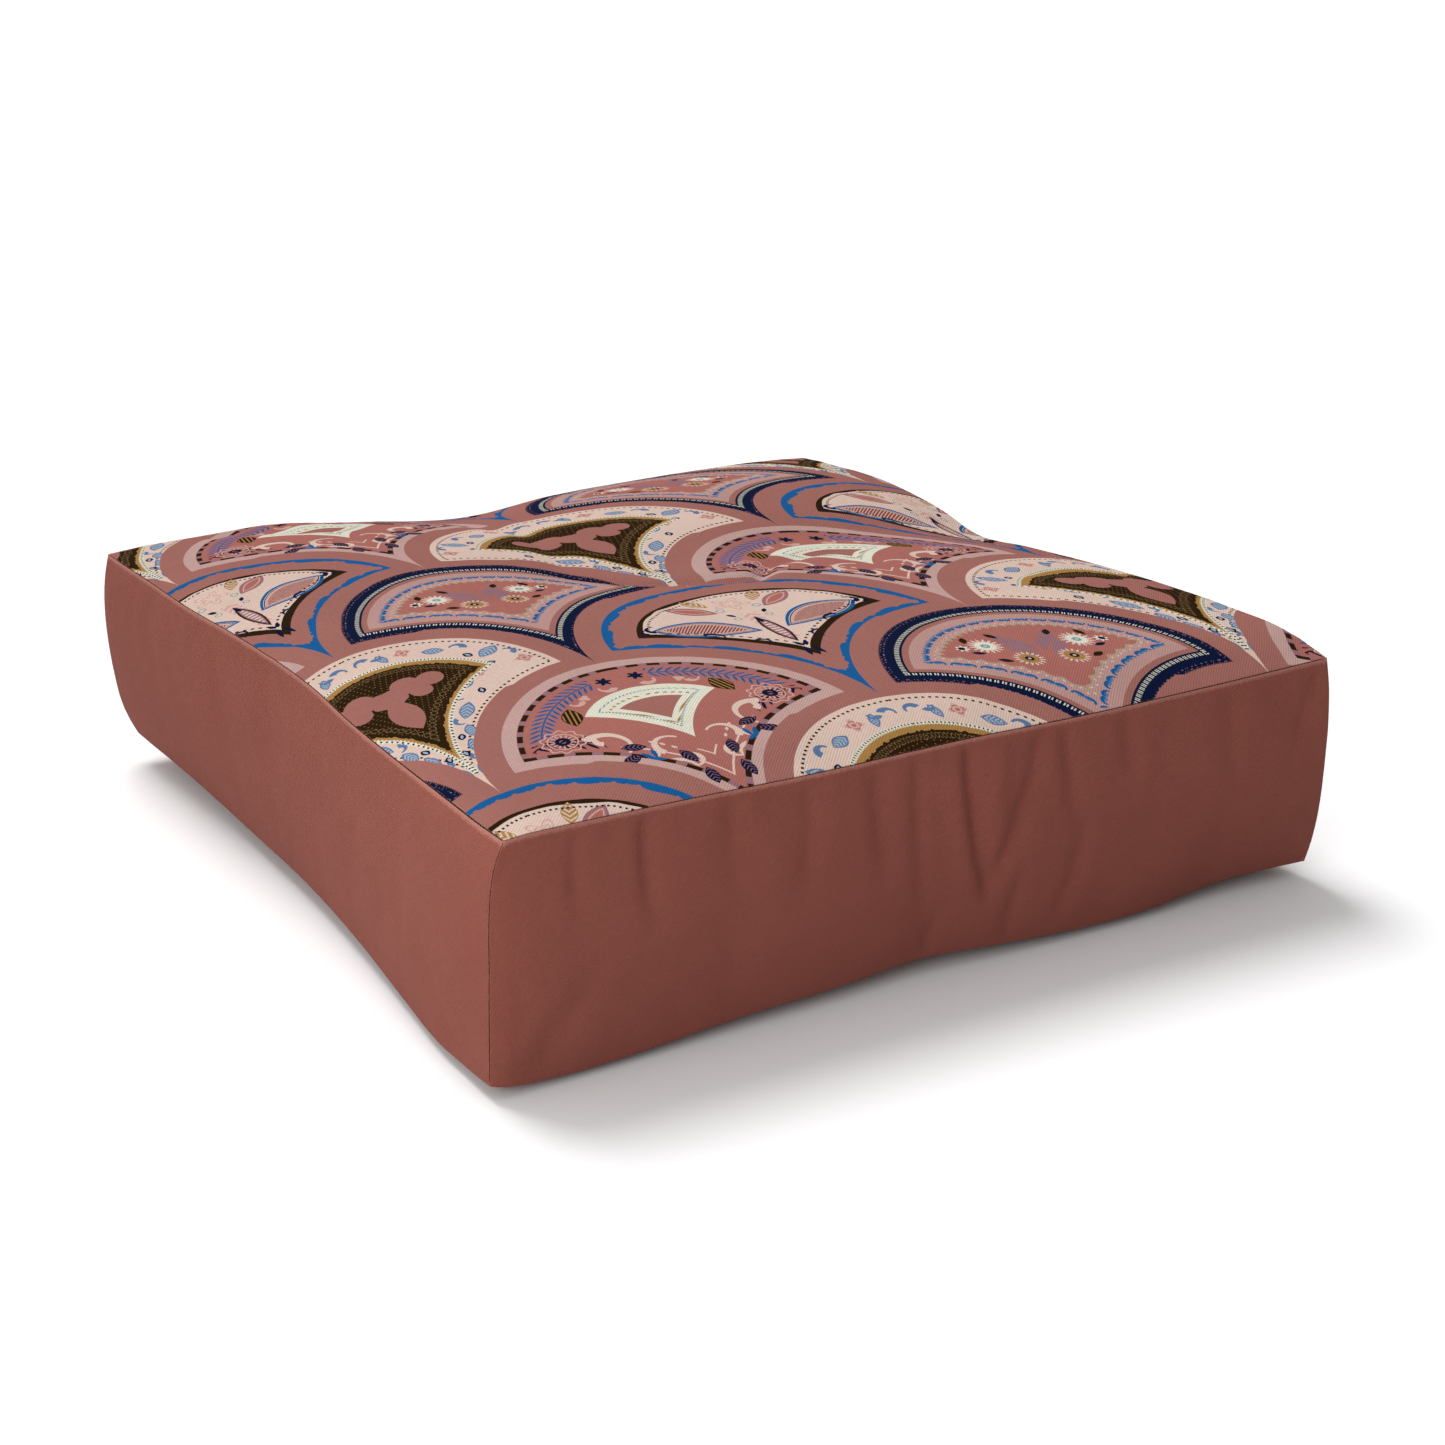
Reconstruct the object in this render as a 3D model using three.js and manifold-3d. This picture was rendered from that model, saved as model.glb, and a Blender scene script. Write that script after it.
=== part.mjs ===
// A square box-edged floor cushion with a removable zipped cover.
//
// The cover is sewn from seven cloth panels: a printed top, a plain bottom, three plain sides and
// a rear side made of two strips that close over a coil zip. Each panel carries its seam allowance
// as a doubled border. Inside the cover is an insert: a thin sewn liner filled with fibre.
//
// Millimetres, +Z up. The origin is on the floor under the middle of the cushion, the zip is on
// the +Y side, and the rows of the print point towards +Y.
import * as THREE from "three";
import { mergeVertices } from "three/addons/utils/BufferGeometryUtils.js";
import Module from "manifold-3d";

// Driving dimensions of the cushion.
const SIDE = 750; // seam to seam across the top
const BOXING = 181; // height of the side panels between their seams
const CROWN = 15; // how far the filling lifts the middle of the top above its seam
const LIFT = 7; // the bottom seam's height above the floor
const FLAT_SHARE = 0.8; // the share of the bottom's half width that lies flat on the floor
const DRAW_IN = { sides: 13, ends: 5 }; // how far the top seam is drawn in half way along
const DRAW_IN_BELOW = 0.4; // the bottom seam's share of that

// Cloth.
const CLOTH = 1; // thickness of the cover cloth
const HEM = 12; // width of the seam allowance, folded back inside
const HEM_STEP = 0.4; // width of the slope where a doubled border ends
const MITRE = 0.25; // each panel stops this far short of the line where two panels meet
const GAP = 0.3; // the least distance between two pieces

// Zip, a size 5 nylon coil.
const ZIP_OPENING = 11.2; // between the folded edges of the two rear strips
const TAPE_WIDTH = 16;
const TAPE = 0.6;
const COIL_WIDTH = 2.85;
const COIL_DEPTH = 2.2;
const COIL_LENGTH = 680;
const STOP_LENGTH = 2.4;
const SLIDER = { length: 12, width: 9.2, plate: 1.2, flange: 1.2, post: 2, corner: 2.6 };
const ARCH = { inner: 2.6, outer: 3.8, width: 2 }; // the slider's bridge, a half ring
const PULL = { length: 25, head: 7, waist: 4.2, thickness: 1.4, bar: 0.65, eye: 4.8, slot: 3 };

// Thread, label and insert.
const THREAD = 0.6;
const LABEL = { width: 34, height: 24, thickness: 0.5, above: 36 };
const LINER_DEPTH = 5.2; // from the cover's outer face to the liner's
const LINER = 0.6;
const FILL_DEPTH = LINER_DEPTH + LINER + 0.4;

const HALF = SIDE / 2;
const TOP_SEAM = LIFT + BOXING;
const ZIP_HEIGHT = LIFT + BOXING / 2;
const HEM_DEPTH = 2 * CLOTH;
const TAPE_DEPTH = HEM_DEPTH + GAP;

// ---------------------------------------------------------------------------------------------
// The shape that every soft piece follows
// ---------------------------------------------------------------------------------------------

const smooth = (x) => x * x * (3 - 2 * x);

// 0 over the flat middle of the bottom, rising to 1 at its edge.
function edgeRise(u) {
  return smooth(Math.max(0, (Math.abs(u) - FLAT_SHARE) / (1 - FLAT_SHARE)));
}

// A point of the cushion. s, t and q run from -1 to 1 along X, Y and Z; inset is how far inside
// the cover's outer face the point lies on each axis. Half way up, the four sides are flat planes.
function cushionPoint(s, t, q, [ix, iy, iz]) {
  const draw = q * q * (q > 0 ? 1 : DRAW_IN_BELOW);
  const x = s * (HALF - ix - DRAW_IN.sides * (1 - t * t) * draw);
  const y = t * (HALF - iy - DRAW_IN.ends * (1 - s * s) * draw);
  const low = iz + LIFT * (1 - (1 - edgeRise(s)) * (1 - edgeRise(t)));
  const high = TOP_SEAM - iz + CROWN * (1 - Math.abs(s) ** 2.4) * (1 - Math.abs(t) ** 2.4);
  return [x, y, low + ((high - low) * (q + 1)) / 2];
}

// n + 1 places from low to high, with a pair of places where a doubled border starts.
function stations(low, high, n, hems = []) {
  const even = Array.from({ length: n + 1 }, (_, i) => low + ((high - low) * i) / n);
  const step = HEM_STEP / HALF;
  const pairs = hems.flatMap((h) => [h, h - Math.sign(h - (low + high) / 2) * step]);
  return [...even, ...pairs].sort((a, b) => a - b);
}

// A closed box with a grid on its faces, through the given places along X, Y and Z. Each small
// square is split towards the middle of its face, so that pieces lying on each other bend alike.
function griddedBox(...axes) {
  const points = [];
  for (const [a, b, c] of [[0, 1, 2], [1, 2, 0], [2, 0, 1]]) {
    for (const side of [0, 1]) {
      for (let i = 0; i + 1 < axes[a].length; i++) {
        for (let j = 0; j + 1 < axes[b].length; j++) {
          const corner = (di, dj) => {
            const point = [];
            point[a] = axes[a][i + di];
            point[b] = axes[b][j + dj];
            point[c] = axes[c].at(-side);
            return point;
          };
          const ring = [corner(0, 0), corner(1, 0), corner(1, 1), corner(0, 1)];
          const towardsMiddle = (axes[a][i] + axes[a][i + 1]) * (axes[b][j] + axes[b][j + 1]) > 0;
          if (!towardsMiddle) ring.push(ring.shift());
          const triangles = [ring[0], ring[1], ring[2], ring[0], ring[2], ring[3]];
          points.push(...(side === 1 ? triangles : triangles.reverse()));
        }
      }
    }
  }
  const at = new THREE.Float32BufferAttribute(points.flat(), 3);
  return new THREE.BufferGeometry().setAttribute("position", at);
}

// A sheet of cloth with a fine grid on its two large faces. Its outer face has depth outer and its
// inner face depth inner(u, v). place(u, v, depth) gives a point.
function sheet(us, vs, outer, inner, place) {
  return bent(griddedBox(us, vs, [0, 1]), (u, v, w) => place(u, v, w > 0 ? outer : inner(u, v)));
}

// Moves every point of a closed geometry and keeps its faces pointing out.
function bent(geometry, move) {
  const bare = new THREE.BufferGeometry().setIndex(geometry.index);
  bare.setAttribute("position", geometry.getAttribute("position").clone());
  const at = bare.getAttribute("position");
  for (let i = 0; i < at.count; i++) at.setXYZ(i, ...move(at.getX(i), at.getY(i), at.getZ(i)));
  const merged = mergeVertices(bare, 1e-3);
  if (signedVolume(merged) < 0) merged.index.array.reverse();
  merged.computeVertexNormals();
  return merged;
}

function signedVolume(geometry) {
  const at = geometry.getAttribute("position");
  const corner = (i) => new THREE.Vector3().fromBufferAttribute(at, geometry.index.getX(i));
  let sum = 0;
  for (let i = 0; i < geometry.index.count; i += 3) {
    sum += corner(i).dot(corner(i + 1).cross(corner(i + 2)));
  }
  return sum / 6;
}

// ---------------------------------------------------------------------------------------------
// Cover panels
// ---------------------------------------------------------------------------------------------

const FACE_STEPS = 10;
const SIDE_STEPS = 4;
const HEM_AT = 1 - HEM / HALF; // where the doubled border starts on a face, as a share of HALF
const HEM_UP = 1 - (2 * HEM) / BOXING; // the same on a side panel, as a share of its half height

const doubled = (isHem) => (u, v) => (isHem(u, v) ? HEM_DEPTH : CLOTH);

function facePanel(q) {
  const steps = stations(-1, 1, FACE_STEPS, [-HEM_AT, HEM_AT]);
  const hem = doubled((s, t) => Math.max(Math.abs(s), Math.abs(t)) >= HEM_AT - 1e-6);
  return sheet(steps, steps, 0, hem, (s, t, d) =>
    cushionPoint(s, t, q, [d + MITRE, d + MITRE, d]),
  );
}

// A side panel between two heights, given as q. facing turns the front panel round to its side.
// An edge at a seam is mitred; the edges beside the zip are plain folds.
function sidePanel(facing, lowQ, highQ) {
  const hemQ = 1 - HEM_UP;
  const lowHem = lowQ + hemQ;
  const highHem = highQ - hemQ;
  const along = stations(-1, 1, FACE_STEPS, [-HEM_AT, HEM_AT]);
  const up = stations(lowQ, highQ, SIDE_STEPS, [lowHem, highHem]);
  const hem = doubled(
    (s, q) => Math.abs(s) >= HEM_AT - 1e-6 || q <= lowHem + 1e-6 || q >= highHem - 1e-6,
  );
  const geometry = sheet(along, up, 0, hem, (s, q, d) => {
    const [x, y, z] = cushionPoint(s, -1, q, [d + MITRE, d, 0]);
    const low = lowQ === -1 ? LIFT + d + MITRE : -Infinity;
    const high = highQ === 1 ? TOP_SEAM - d - MITRE : Infinity;
    return [x, y, Math.min(Math.max(z, low), high)];
  });
  return geometry.rotateZ(facing);
}

const zipEdge = ZIP_OPENING / BOXING; // q of the folded edges beside the zip

// ---------------------------------------------------------------------------------------------
// Zip
// ---------------------------------------------------------------------------------------------

// up is 1 for the upper half of the zip and -1 for the lower.
function zipTape(up) {
  const end = 1 - (HEM_DEPTH + MITRE + 2 * GAP) / HALF;
  const near = (SLIDER.post + 2 * GAP) / BOXING; // the slider's post passes between the tapes
  const far = near + (2 * TAPE_WIDTH) / BOXING;
  const back = () => TAPE_DEPTH + TAPE;
  return sheet(stations(-end, end, FACE_STEPS), stations(near, far, 1), TAPE_DEPTH, back, (s, q, d) =>
    cushionPoint(s, 1, up * q, [0, d, 0]),
  );
}

const ZIP_END = COIL_LENGTH / 2; // X of the last tooth at the closed end
const COIL_BACK = HALF - HEM_DEPTH; // Y of the coil's face against the tape
const COIL_MIDDLE = COIL_BACK + COIL_DEPTH / 2;
const SLIDER_AT = ZIP_END - 1; // X of the slider's middle when the zip is closed

function zipCoil(up) {
  const z = ZIP_HEIGHT + up * (GAP / 2 + COIL_WIDTH / 2);
  return new THREE.BoxGeometry(COIL_LENGTH, COIL_DEPTH, COIL_WIDTH).translate(0, COIL_MIDDLE, z);
}

function topStop(up) {
  const width = COIL_WIDTH - GAP - SLIDER.post / 2;
  const z = ZIP_HEIGHT + up * (GAP / 2 + COIL_WIDTH - width / 2);
  const x = ZIP_END + GAP + STOP_LENGTH / 2;
  return new THREE.BoxGeometry(STOP_LENGTH, COIL_DEPTH, width).translate(x, COIL_MIDDLE, z);
}

function bottomStop() {
  const x = -ZIP_END - GAP - STOP_LENGTH / 2;
  return new THREE.BoxGeometry(STOP_LENGTH, COIL_DEPTH, 2 * COIL_WIDTH).translate(
    x,
    COIL_MIDDLE,
    ZIP_HEIGHT,
  );
}

const wasm = await Module();
wasm.setup();

function toSolid(geometry) {
  const bare = geometry.index ? geometry.toNonIndexed() : geometry;
  const merged = mergeVertices(
    new THREE.BufferGeometry().setAttribute("position", bare.getAttribute("position")),
  );
  return new wasm.Manifold(
    new wasm.Mesh({
      numProp: 3,
      vertProperties: merged.getAttribute("position").array,
      triVerts: new Uint32Array(merged.index.array),
    }),
  );
}

function fromSolid(solid) {
  const mesh = solid.getMesh();
  const geometry = new THREE.BufferGeometry();
  geometry.setAttribute("position", new THREE.BufferAttribute(mesh.vertProperties, 3));
  geometry.setIndex(new THREE.BufferAttribute(mesh.triVerts, 1));
  geometry.computeVertexNormals();
  return geometry;
}

// An outline drawn in X and Z, with its thickness from low to high along Y.
function slab(shape, low, high) {
  const flat = new THREE.ExtrudeGeometry(shape, {
    depth: high - low,
    bevelEnabled: false,
    curveSegments: 4,
  });
  return flat.rotateX(Math.PI / 2).translate(0, high, 0);
}

function roundedOutline(length, width, corner) {
  const [x, z] = [length / 2 - corner, width / 2 - corner];
  const shape = new THREE.Shape();
  shape.absarc(x, z, corner, 0, Math.PI / 2);
  shape.absarc(-x, z, corner, Math.PI / 2, Math.PI);
  shape.absarc(-x, -z, corner, Math.PI, 1.5 * Math.PI);
  shape.absarc(x, -z, corner, 1.5 * Math.PI, 2 * Math.PI);
  return shape;
}

const PLATE_LOW = COIL_BACK + COIL_DEPTH + GAP; // the front plate clears the coil's face
const PLATE_HIGH = PLATE_LOW + SLIDER.plate;
const HINGE_Y = PLATE_HIGH + ARCH.inner / 2; // the pull turns about this line

// Two plates joined by a post at the nose, side flanges that guide the coils, and an arch for
// the pull. It is made about X = 0 and the middle of the zip's height.
function zipSlider() {
  const { length, width, plate, flange, post, corner } = SLIDER;
  const outline = roundedOutline(length, width, corner);
  const backHigh = HALF - TAPE_DEPTH - TAPE - GAP;
  const backLow = backHigh - plate;
  const frontPlate = slab(outline, PLATE_LOW, PLATE_HIGH);
  const backPlate = slab(outline, backLow, backHigh);
  const postShape = new THREE.Shape().absellipse(0, 0, post, post / 2, 0, 2 * Math.PI);
  const nose = slab(postShape, backLow, PLATE_HIGH).translate(length / 2 - post, 0, 0);
  const flangeLow = HALF - TAPE_DEPTH + GAP;
  const flangeHeight = PLATE_HIGH - flangeLow;
  const guides = [1, -1].map((side) =>
    new THREE.BoxGeometry(length - 2 * corner, flangeHeight, flange).translate(
      0,
      flangeLow + flangeHeight / 2,
      (side * (width - flange)) / 2,
    ),
  );
  const halfRing = new THREE.Shape();
  halfRing.absarc(0, 0, ARCH.outer, -0.15, Math.PI + 0.15);
  halfRing.absarc(0, 0, ARCH.inner, Math.PI + 0.15, -0.15, true);
  const arch = new THREE.ExtrudeGeometry(halfRing, {
    depth: ARCH.width,
    bevelEnabled: false,
    curveSegments: 8,
  }).translate(0, PLATE_HIGH, -ARCH.width / 2);
  return fromSolid(
    [frontPlate, backPlate, nose, ...guides, arch]
      .map(toSolid)
      .reduce((whole, piece) => whole.add(piece)),
  );
}

// A flat tab with a waist and a slot for the arch. It points to -X from its hinge line at X = 0.
function zipPull() {
  const { length, head, waist, thickness, bar, eye, slot } = PULL;
  const [h, w, round] = [head / 2, waist / 2, -length + head / 2];
  const tab = new THREE.Shape();
  tab.moveTo(bar, -h + 1);
  tab.lineTo(bar, h - 1);
  tab.quadraticCurveTo(bar, h, bar - 1, h);
  tab.lineTo(-eye, h);
  tab.bezierCurveTo(-eye - 3, h, -eye - 2, w, -eye - 5, w);
  tab.bezierCurveTo(round + 4, w, round + 4, h, round, h);
  tab.absarc(round, 0, h, Math.PI / 2, 1.5 * Math.PI);
  tab.bezierCurveTo(round + 4, -h, round + 4, -w, -eye - 5, -w);
  tab.bezierCurveTo(-eye - 2, -w, -eye - 3, -h, -eye, -h);
  tab.lineTo(bar - 1, -h);
  tab.quadraticCurveTo(bar, -h, bar, -h + 1);
  const corners = [[-bar, -1], [-eye, -1], [-eye, 1], [-bar, 1]];
  tab.holes.push(new THREE.Path(corners.map(([x, z]) => new THREE.Vector2(x, (z * slot) / 2))));
  return slab(tab, HINGE_Y - thickness / 2, HINGE_Y + thickness / 2);
}

// ---------------------------------------------------------------------------------------------
// Thread and label
// ---------------------------------------------------------------------------------------------

const THREAD_DEPTH = HEM_DEPTH + GAP + THREAD; // the line of stitches inside a seam

// The stitching round the top or bottom seam: a ring drawn out to the seam's outline.
function seamRing(q) {
  const ring = new THREE.TorusGeometry(HALF, THREAD / 2, 4, 32);
  return bent(ring, (x, y, z) => {
    const round = Math.hypot(x, y);
    const out = round - HALF;
    const far = Math.max(Math.abs(x), Math.abs(y));
    const depth = THREAD_DEPTH - out;
    const point = cushionPoint(x / far, y / far, q, [depth, depth, THREAD_DEPTH]);
    return [point[0], point[1], point[2] + z];
  });
}

function rod(length) {
  return new THREE.CylinderGeometry(THREAD / 2, THREAD / 2, length, 6);
}

function cornerThread(sideX, sideY) {
  const inset = HALF - THREAD_DEPTH - 2 * THREAD;
  const length = BOXING - 4 * THREAD_DEPTH;
  return rod(length)
    .rotateX(Math.PI / 2)
    .translate(sideX * inset, sideY * inset, ZIP_HEIGHT);
}

function topstitch(up) {
  const z = ZIP_HEIGHT + up * (ZIP_OPENING / 2 + 3);
  return rod(SIDE - 2 * HEM)
    .rotateZ(Math.PI / 2)
    .translate(0, HALF + GAP + THREAD / 2, z);
}

function careLabel() {
  const { width, height, thickness, above } = LABEL;
  return new THREE.BoxGeometry(width, thickness, height).translate(
    width / 2 + CLOTH - HALF,
    HALF + GAP + thickness / 2,
    above + height / 2,
  );
}

// ---------------------------------------------------------------------------------------------
// Insert
// ---------------------------------------------------------------------------------------------

function linerFace(q) {
  const steps = stations(-1, 1, FACE_STEPS);
  return sheet(steps, steps, LINER_DEPTH, () => LINER_DEPTH + LINER, (s, t, d) =>
    cushionPoint(s, t, q, [d + MITRE, d + MITRE, d]),
  );
}

function linerSide(facing) {
  const along = stations(-1, 1, FACE_STEPS);
  const up = stations(-1, 1, SIDE_STEPS);
  return sheet(along, up, LINER_DEPTH, () => LINER_DEPTH + LINER, (s, q, d) =>
    cushionPoint(s, -1, q, [d + MITRE, d, d + MITRE]),
  ).rotateZ(facing);
}

function fibreFill() {
  const [around, up] = [stations(-1, 1, FACE_STEPS), stations(-1, 1, SIDE_STEPS)];
  const inset = [FILL_DEPTH, FILL_DEPTH, FILL_DEPTH];
  return bent(griddedBox(around, around, up), (...at) => cushionPoint(...at, inset));
}

// ---------------------------------------------------------------------------------------------
// Assembly
// ---------------------------------------------------------------------------------------------

function material(color, roughness, metalness = 0) {
  return new THREE.MeshStandardMaterial({ color, roughness, metalness });
}

const printedTwill = material("#b5796c", 0.85);
const plainTwill = material("#93564a", 0.88);
const tapeCloth = material("#8a5146", 0.9);
const coilNylon = material("#7c463c", 0.45);
const sewingThread = material("#9c6053", 0.7);
const zinc = material("#8d8a86", 0.3, 1);
const linerCloth = material("#f1eee8", 0.95);
const polyesterFibre = material("#fbfaf6", 1);
const satinRibbon = material("#efe9e2", 0.5);

const cushion = new THREE.Group();

function add(name, geometry, surface, parent = cushion) {
  const mesh = new THREE.Mesh(geometry, surface);
  mesh.name = name;
  parent.add(mesh);
}

const RIGHT_TURN = Math.PI / 2;
add("top_panel", facePanel(1), printedTwill);
add("bottom_panel", facePanel(-1), plainTwill);
add("front_panel", sidePanel(0, -1, 1), plainTwill);
add("right_panel", sidePanel(RIGHT_TURN, -1, 1), plainTwill);
add("left_panel", sidePanel(-RIGHT_TURN, -1, 1), plainTwill);
add("rear_panel_upper", sidePanel(2 * RIGHT_TURN, zipEdge, 1), plainTwill);
add("rear_panel_lower", sidePanel(2 * RIGHT_TURN, -1, -zipEdge), plainTwill);

for (const [half, up] of [
  ["upper", 1],
  ["lower", -1],
]) {
  add(`zip_tape_${half}`, zipTape(up), tapeCloth);
  add(`zip_coil_${half}`, zipCoil(up), coilNylon);
  add(`zip_top_stop_${half}`, topStop(up), zinc);
  add(`zip_topstitch_${half}`, topstitch(up), sewingThread);
}
add("zip_bottom_stop", bottomStop(), zinc);

const slider = new THREE.Group();
slider.position.set(SLIDER_AT, 0, ZIP_HEIGHT);
add("zip_slider", zipSlider(), zinc, slider);
add("zip_pull", zipPull(), zinc, slider);
cushion.add(slider);

add("top_seam_thread", seamRing(1), sewingThread);
add("bottom_seam_thread", seamRing(-1), sewingThread);
for (const [name, sideX, sideY] of [
  ["front_left", -1, -1],
  ["front_right", 1, -1],
  ["rear_left", -1, 1],
  ["rear_right", 1, 1],
]) {
  add(`corner_thread_${name}`, cornerThread(sideX, sideY), sewingThread);
}
add("care_label", careLabel(), satinRibbon);

add("liner_top", linerFace(1), linerCloth);
add("liner_bottom", linerFace(-1), linerCloth);
add("liner_front", linerSide(0), linerCloth);
add("liner_right", linerSide(RIGHT_TURN), linerCloth);
add("liner_rear", linerSide(2 * RIGHT_TURN), linerCloth);
add("liner_left", linerSide(-RIGHT_TURN), linerCloth);
add("fibre_fill", fibreFill(), polyesterFibre);

export default cushion;
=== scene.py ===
"""The looks of a floor cushion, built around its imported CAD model: cloth, print, zip and stage."""

import math

import bpy
import numpy as np
from mathutils import Matrix, Vector


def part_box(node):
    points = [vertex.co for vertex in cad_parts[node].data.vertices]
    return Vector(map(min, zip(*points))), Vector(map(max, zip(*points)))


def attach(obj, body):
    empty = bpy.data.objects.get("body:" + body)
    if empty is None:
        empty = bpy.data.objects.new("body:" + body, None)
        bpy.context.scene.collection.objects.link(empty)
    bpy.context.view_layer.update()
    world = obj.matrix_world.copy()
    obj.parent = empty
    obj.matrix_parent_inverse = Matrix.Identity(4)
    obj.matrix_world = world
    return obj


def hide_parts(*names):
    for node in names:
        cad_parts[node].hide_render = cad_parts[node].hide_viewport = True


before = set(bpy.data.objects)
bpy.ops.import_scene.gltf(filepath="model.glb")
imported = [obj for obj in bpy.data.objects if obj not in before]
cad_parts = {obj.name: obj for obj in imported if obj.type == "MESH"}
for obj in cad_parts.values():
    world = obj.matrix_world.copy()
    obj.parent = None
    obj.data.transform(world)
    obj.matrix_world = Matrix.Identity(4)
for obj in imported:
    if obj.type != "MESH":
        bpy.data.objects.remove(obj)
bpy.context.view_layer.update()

MM = 0.001

# ---- The cushion's shape ----
# Corners run round the cushion: front left, front right, rear right, rear left. Side k goes from
# corner k to the next one. Distances along a seam, w, run from 0 to 1 the same way.

FRONT, RIGHT, REAR, LEFT = range(4)
SIDES = ("front", "right", "rear", "left")
MITRE = 0.25 * MM  # the CAD panels stop this far short of each seam

side_low, side_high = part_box("front_panel")
HALF = side_high[0] + MITRE
SEAM_LOW = side_low[2] - MITRE
SEAM_HIGH = side_high[2] + MITRE
WIDTH, BOXING = 2 * HALF, SEAM_HIGH - SEAM_LOW
ZIP_Z = (SEAM_LOW + SEAM_HIGH) / 2  # every side is level half way up, where the zip runs

CORNER_XY = HALF * np.array([(-1, -1), (1, -1), (1, 1), (-1, 1)], float)
OUTWARD = np.array([(0, -1, 0), (1, 0, 0), (0, 1, 0), (-1, 0, 0)], float)

# How far each corner sits from the corner of a square box, x, y and z in millimetres.
TOP_CORNER_SHIFT = np.array([(7, 4, -6), (9, 2, -1), (-6, -6, -1), (-2, -4, 0)], float)
LOW_CORNER_SHIFT = np.array([(-8, 0, -2), (8, 4, 0), (-12, -12, 8), (14, -14, 10)], float)

# Each seam's line between its corners, as (w, inward, up) in millimetres.
TOP_SEAM = {
    FRONT: [(0, 0, 0), (0.02, -1.2, 2), (0.05, -2, 2.6), (0.12, -2, 2.4), (0.35, -1.5, 0),
            (0.5, 0, 0), (0.7, -0.5, -2), (0.9, 0, -1.5), (1, 0, 0)],
    RIGHT: [(0, 0, 0), (0.06, 2, 11), (0.15, 4, 15), (0.25, 5, 15), (0.36, 5, 11), (0.5, 3, 3),
            (0.6, 3, -3), (0.67, 3, 6), (0.82, 1, 11), (0.93, 0, 5), (1, 0, 0)],
    REAR: [(0, 0, 0), (0.1, 1, 4), (0.22, 1, 4), (0.4, 3, 1), (0.54, 5, -7), (0.68, 4, 2),
           (0.8, 3, 9), (0.88, 2, 6), (0.96, 1, 3), (1, 0, 0)],
    LEFT: [(0, 0, 0), (0.12, 0.5, 1), (0.24, 1, 2), (0.36, 5, 4.5), (0.46, 7, 6), (0.56, 6, 6),
           (0.66, 1.5, 4), (0.8, -1.5, 2.5), (0.9, -2.5, 2), (0.96, -2, 1), (1, 0, 0)],
}
LOW_SEAM = {
    FRONT: [(0, 0, 0), (0.012, -3, -2), (0.03, -4, -3.5), (0.06, -4, -5), (0.14, -3.5, -5),
            (0.25, -2, -0.5), (0.4, 0.5, 2), (0.49, 4, 4), (0.57, 1.5, 0), (0.68, -1, -4.5),
            (0.78, -1, -4.5), (0.87, 1.5, 1.5), (1, 0, 0)],
    RIGHT: [(0, 0, 0), (0.2, 8, 2), (0.5, 12, 3), (0.8, 9, 2), (1, 0, 0)],
    REAR: [(0, 0, 0), (0.2, 5, 1), (0.45, 7, 3), (0.6, 5, -1), (0.8, 5, 2), (1, 0, 0)],
    LEFT: [(0, 0, 0), (0.15, 6, 0), (0.35, 10, -0.5), (0.5, 11, 1), (0.65, 8, 0), (0.8, 2, -3.5),
           (0.9, -2, -4), (0.96, -1, -2), (1, 0, 0)],
}
CORNER_BULGE = np.array([0, 8, 8, 14]) * MM  # how far each upright seam stands out half way up
CORNER_TURN = np.array([1, 0, 0, 0])  # 1 where that seam runs straight up, then turns in at the top
SIDE_BULGE = 5 * MM
CROWN = 15 * MM
FLAT_SHARE = 0.8  # the share of the bottom's half width that lies on the floor


def through(points, w):
    """A smooth line through a few points: cubic pieces with the slopes of their neighbours."""
    points = np.array(points, float)
    at, value = points[:, 0], points[:, 1:]
    slope = np.gradient(value, at, axis=0)
    i = np.clip(np.searchsorted(at, w, side="right") - 1, 0, len(at) - 2)
    width = at[i + 1] - at[i]
    f = (w - at[i]) / width
    h01 = f * f * (3 - 2 * f)
    parts = (
        (1 - h01, value[i]),
        (h01, value[i + 1]),
        (f * (1 - f) ** 2 * width, slope[i]),
        (-f * f * (1 - f) * width, slope[i + 1]),
    )
    return sum(weight[..., None] * v for weight, v in parts)


def corner_points(shift, height):
    return np.column_stack([CORNER_XY, np.full(4, height)]) + shift * MM


TOP_CORNERS = corner_points(TOP_CORNER_SHIFT, SEAM_HIGH)
LOW_CORNERS = corner_points(LOW_CORNER_SHIFT, SEAM_LOW)


def seam_line(corners, curves, side, w):
    """Points on a seam at w, an array from 0 to 1."""
    w = np.asarray(w, float)
    a, b = corners[side], corners[(side + 1) % 4]
    inward_up = through(curves[side], w) * MM
    line = a + (b - a) * w[..., None] - OUTWARD[side] * inward_up[..., :1]
    line[..., 2] += inward_up[..., 1]
    return line


def side_surface(side, u, v):
    """u runs along the side and v up it, both grids from 0 to 1."""
    low = seam_line(LOW_CORNERS, LOW_SEAM, side, u)
    high = seam_line(TOP_CORNERS, TOP_SEAM, side, u)
    up = 1 - np.abs(2 * v - 1) ** 2.6
    full = (1 - np.abs(2 * u - 1) ** 5) * (1 - np.abs(2 * v - 1) ** 2.4)
    points = low + (high - low) * v[..., None] + OUTWARD[side] * SIDE_BULGE * full[..., None]
    for corner, near in ((side, 1 - u), ((side + 1) % 4, u)):
        out = CORNER_BULGE[corner] * up * near**5
        away = OUTWARD[corner] + OUTWARD[corner - 1]
        points += math.sqrt(0.5) * away * out[..., None]
        lean = (LOW_CORNERS - TOP_CORNERS)[corner] * (1, 1, 0)
        points += CORNER_TURN[corner] * lean * ((v - v**9) * near**5)[..., None]
    return points


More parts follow.
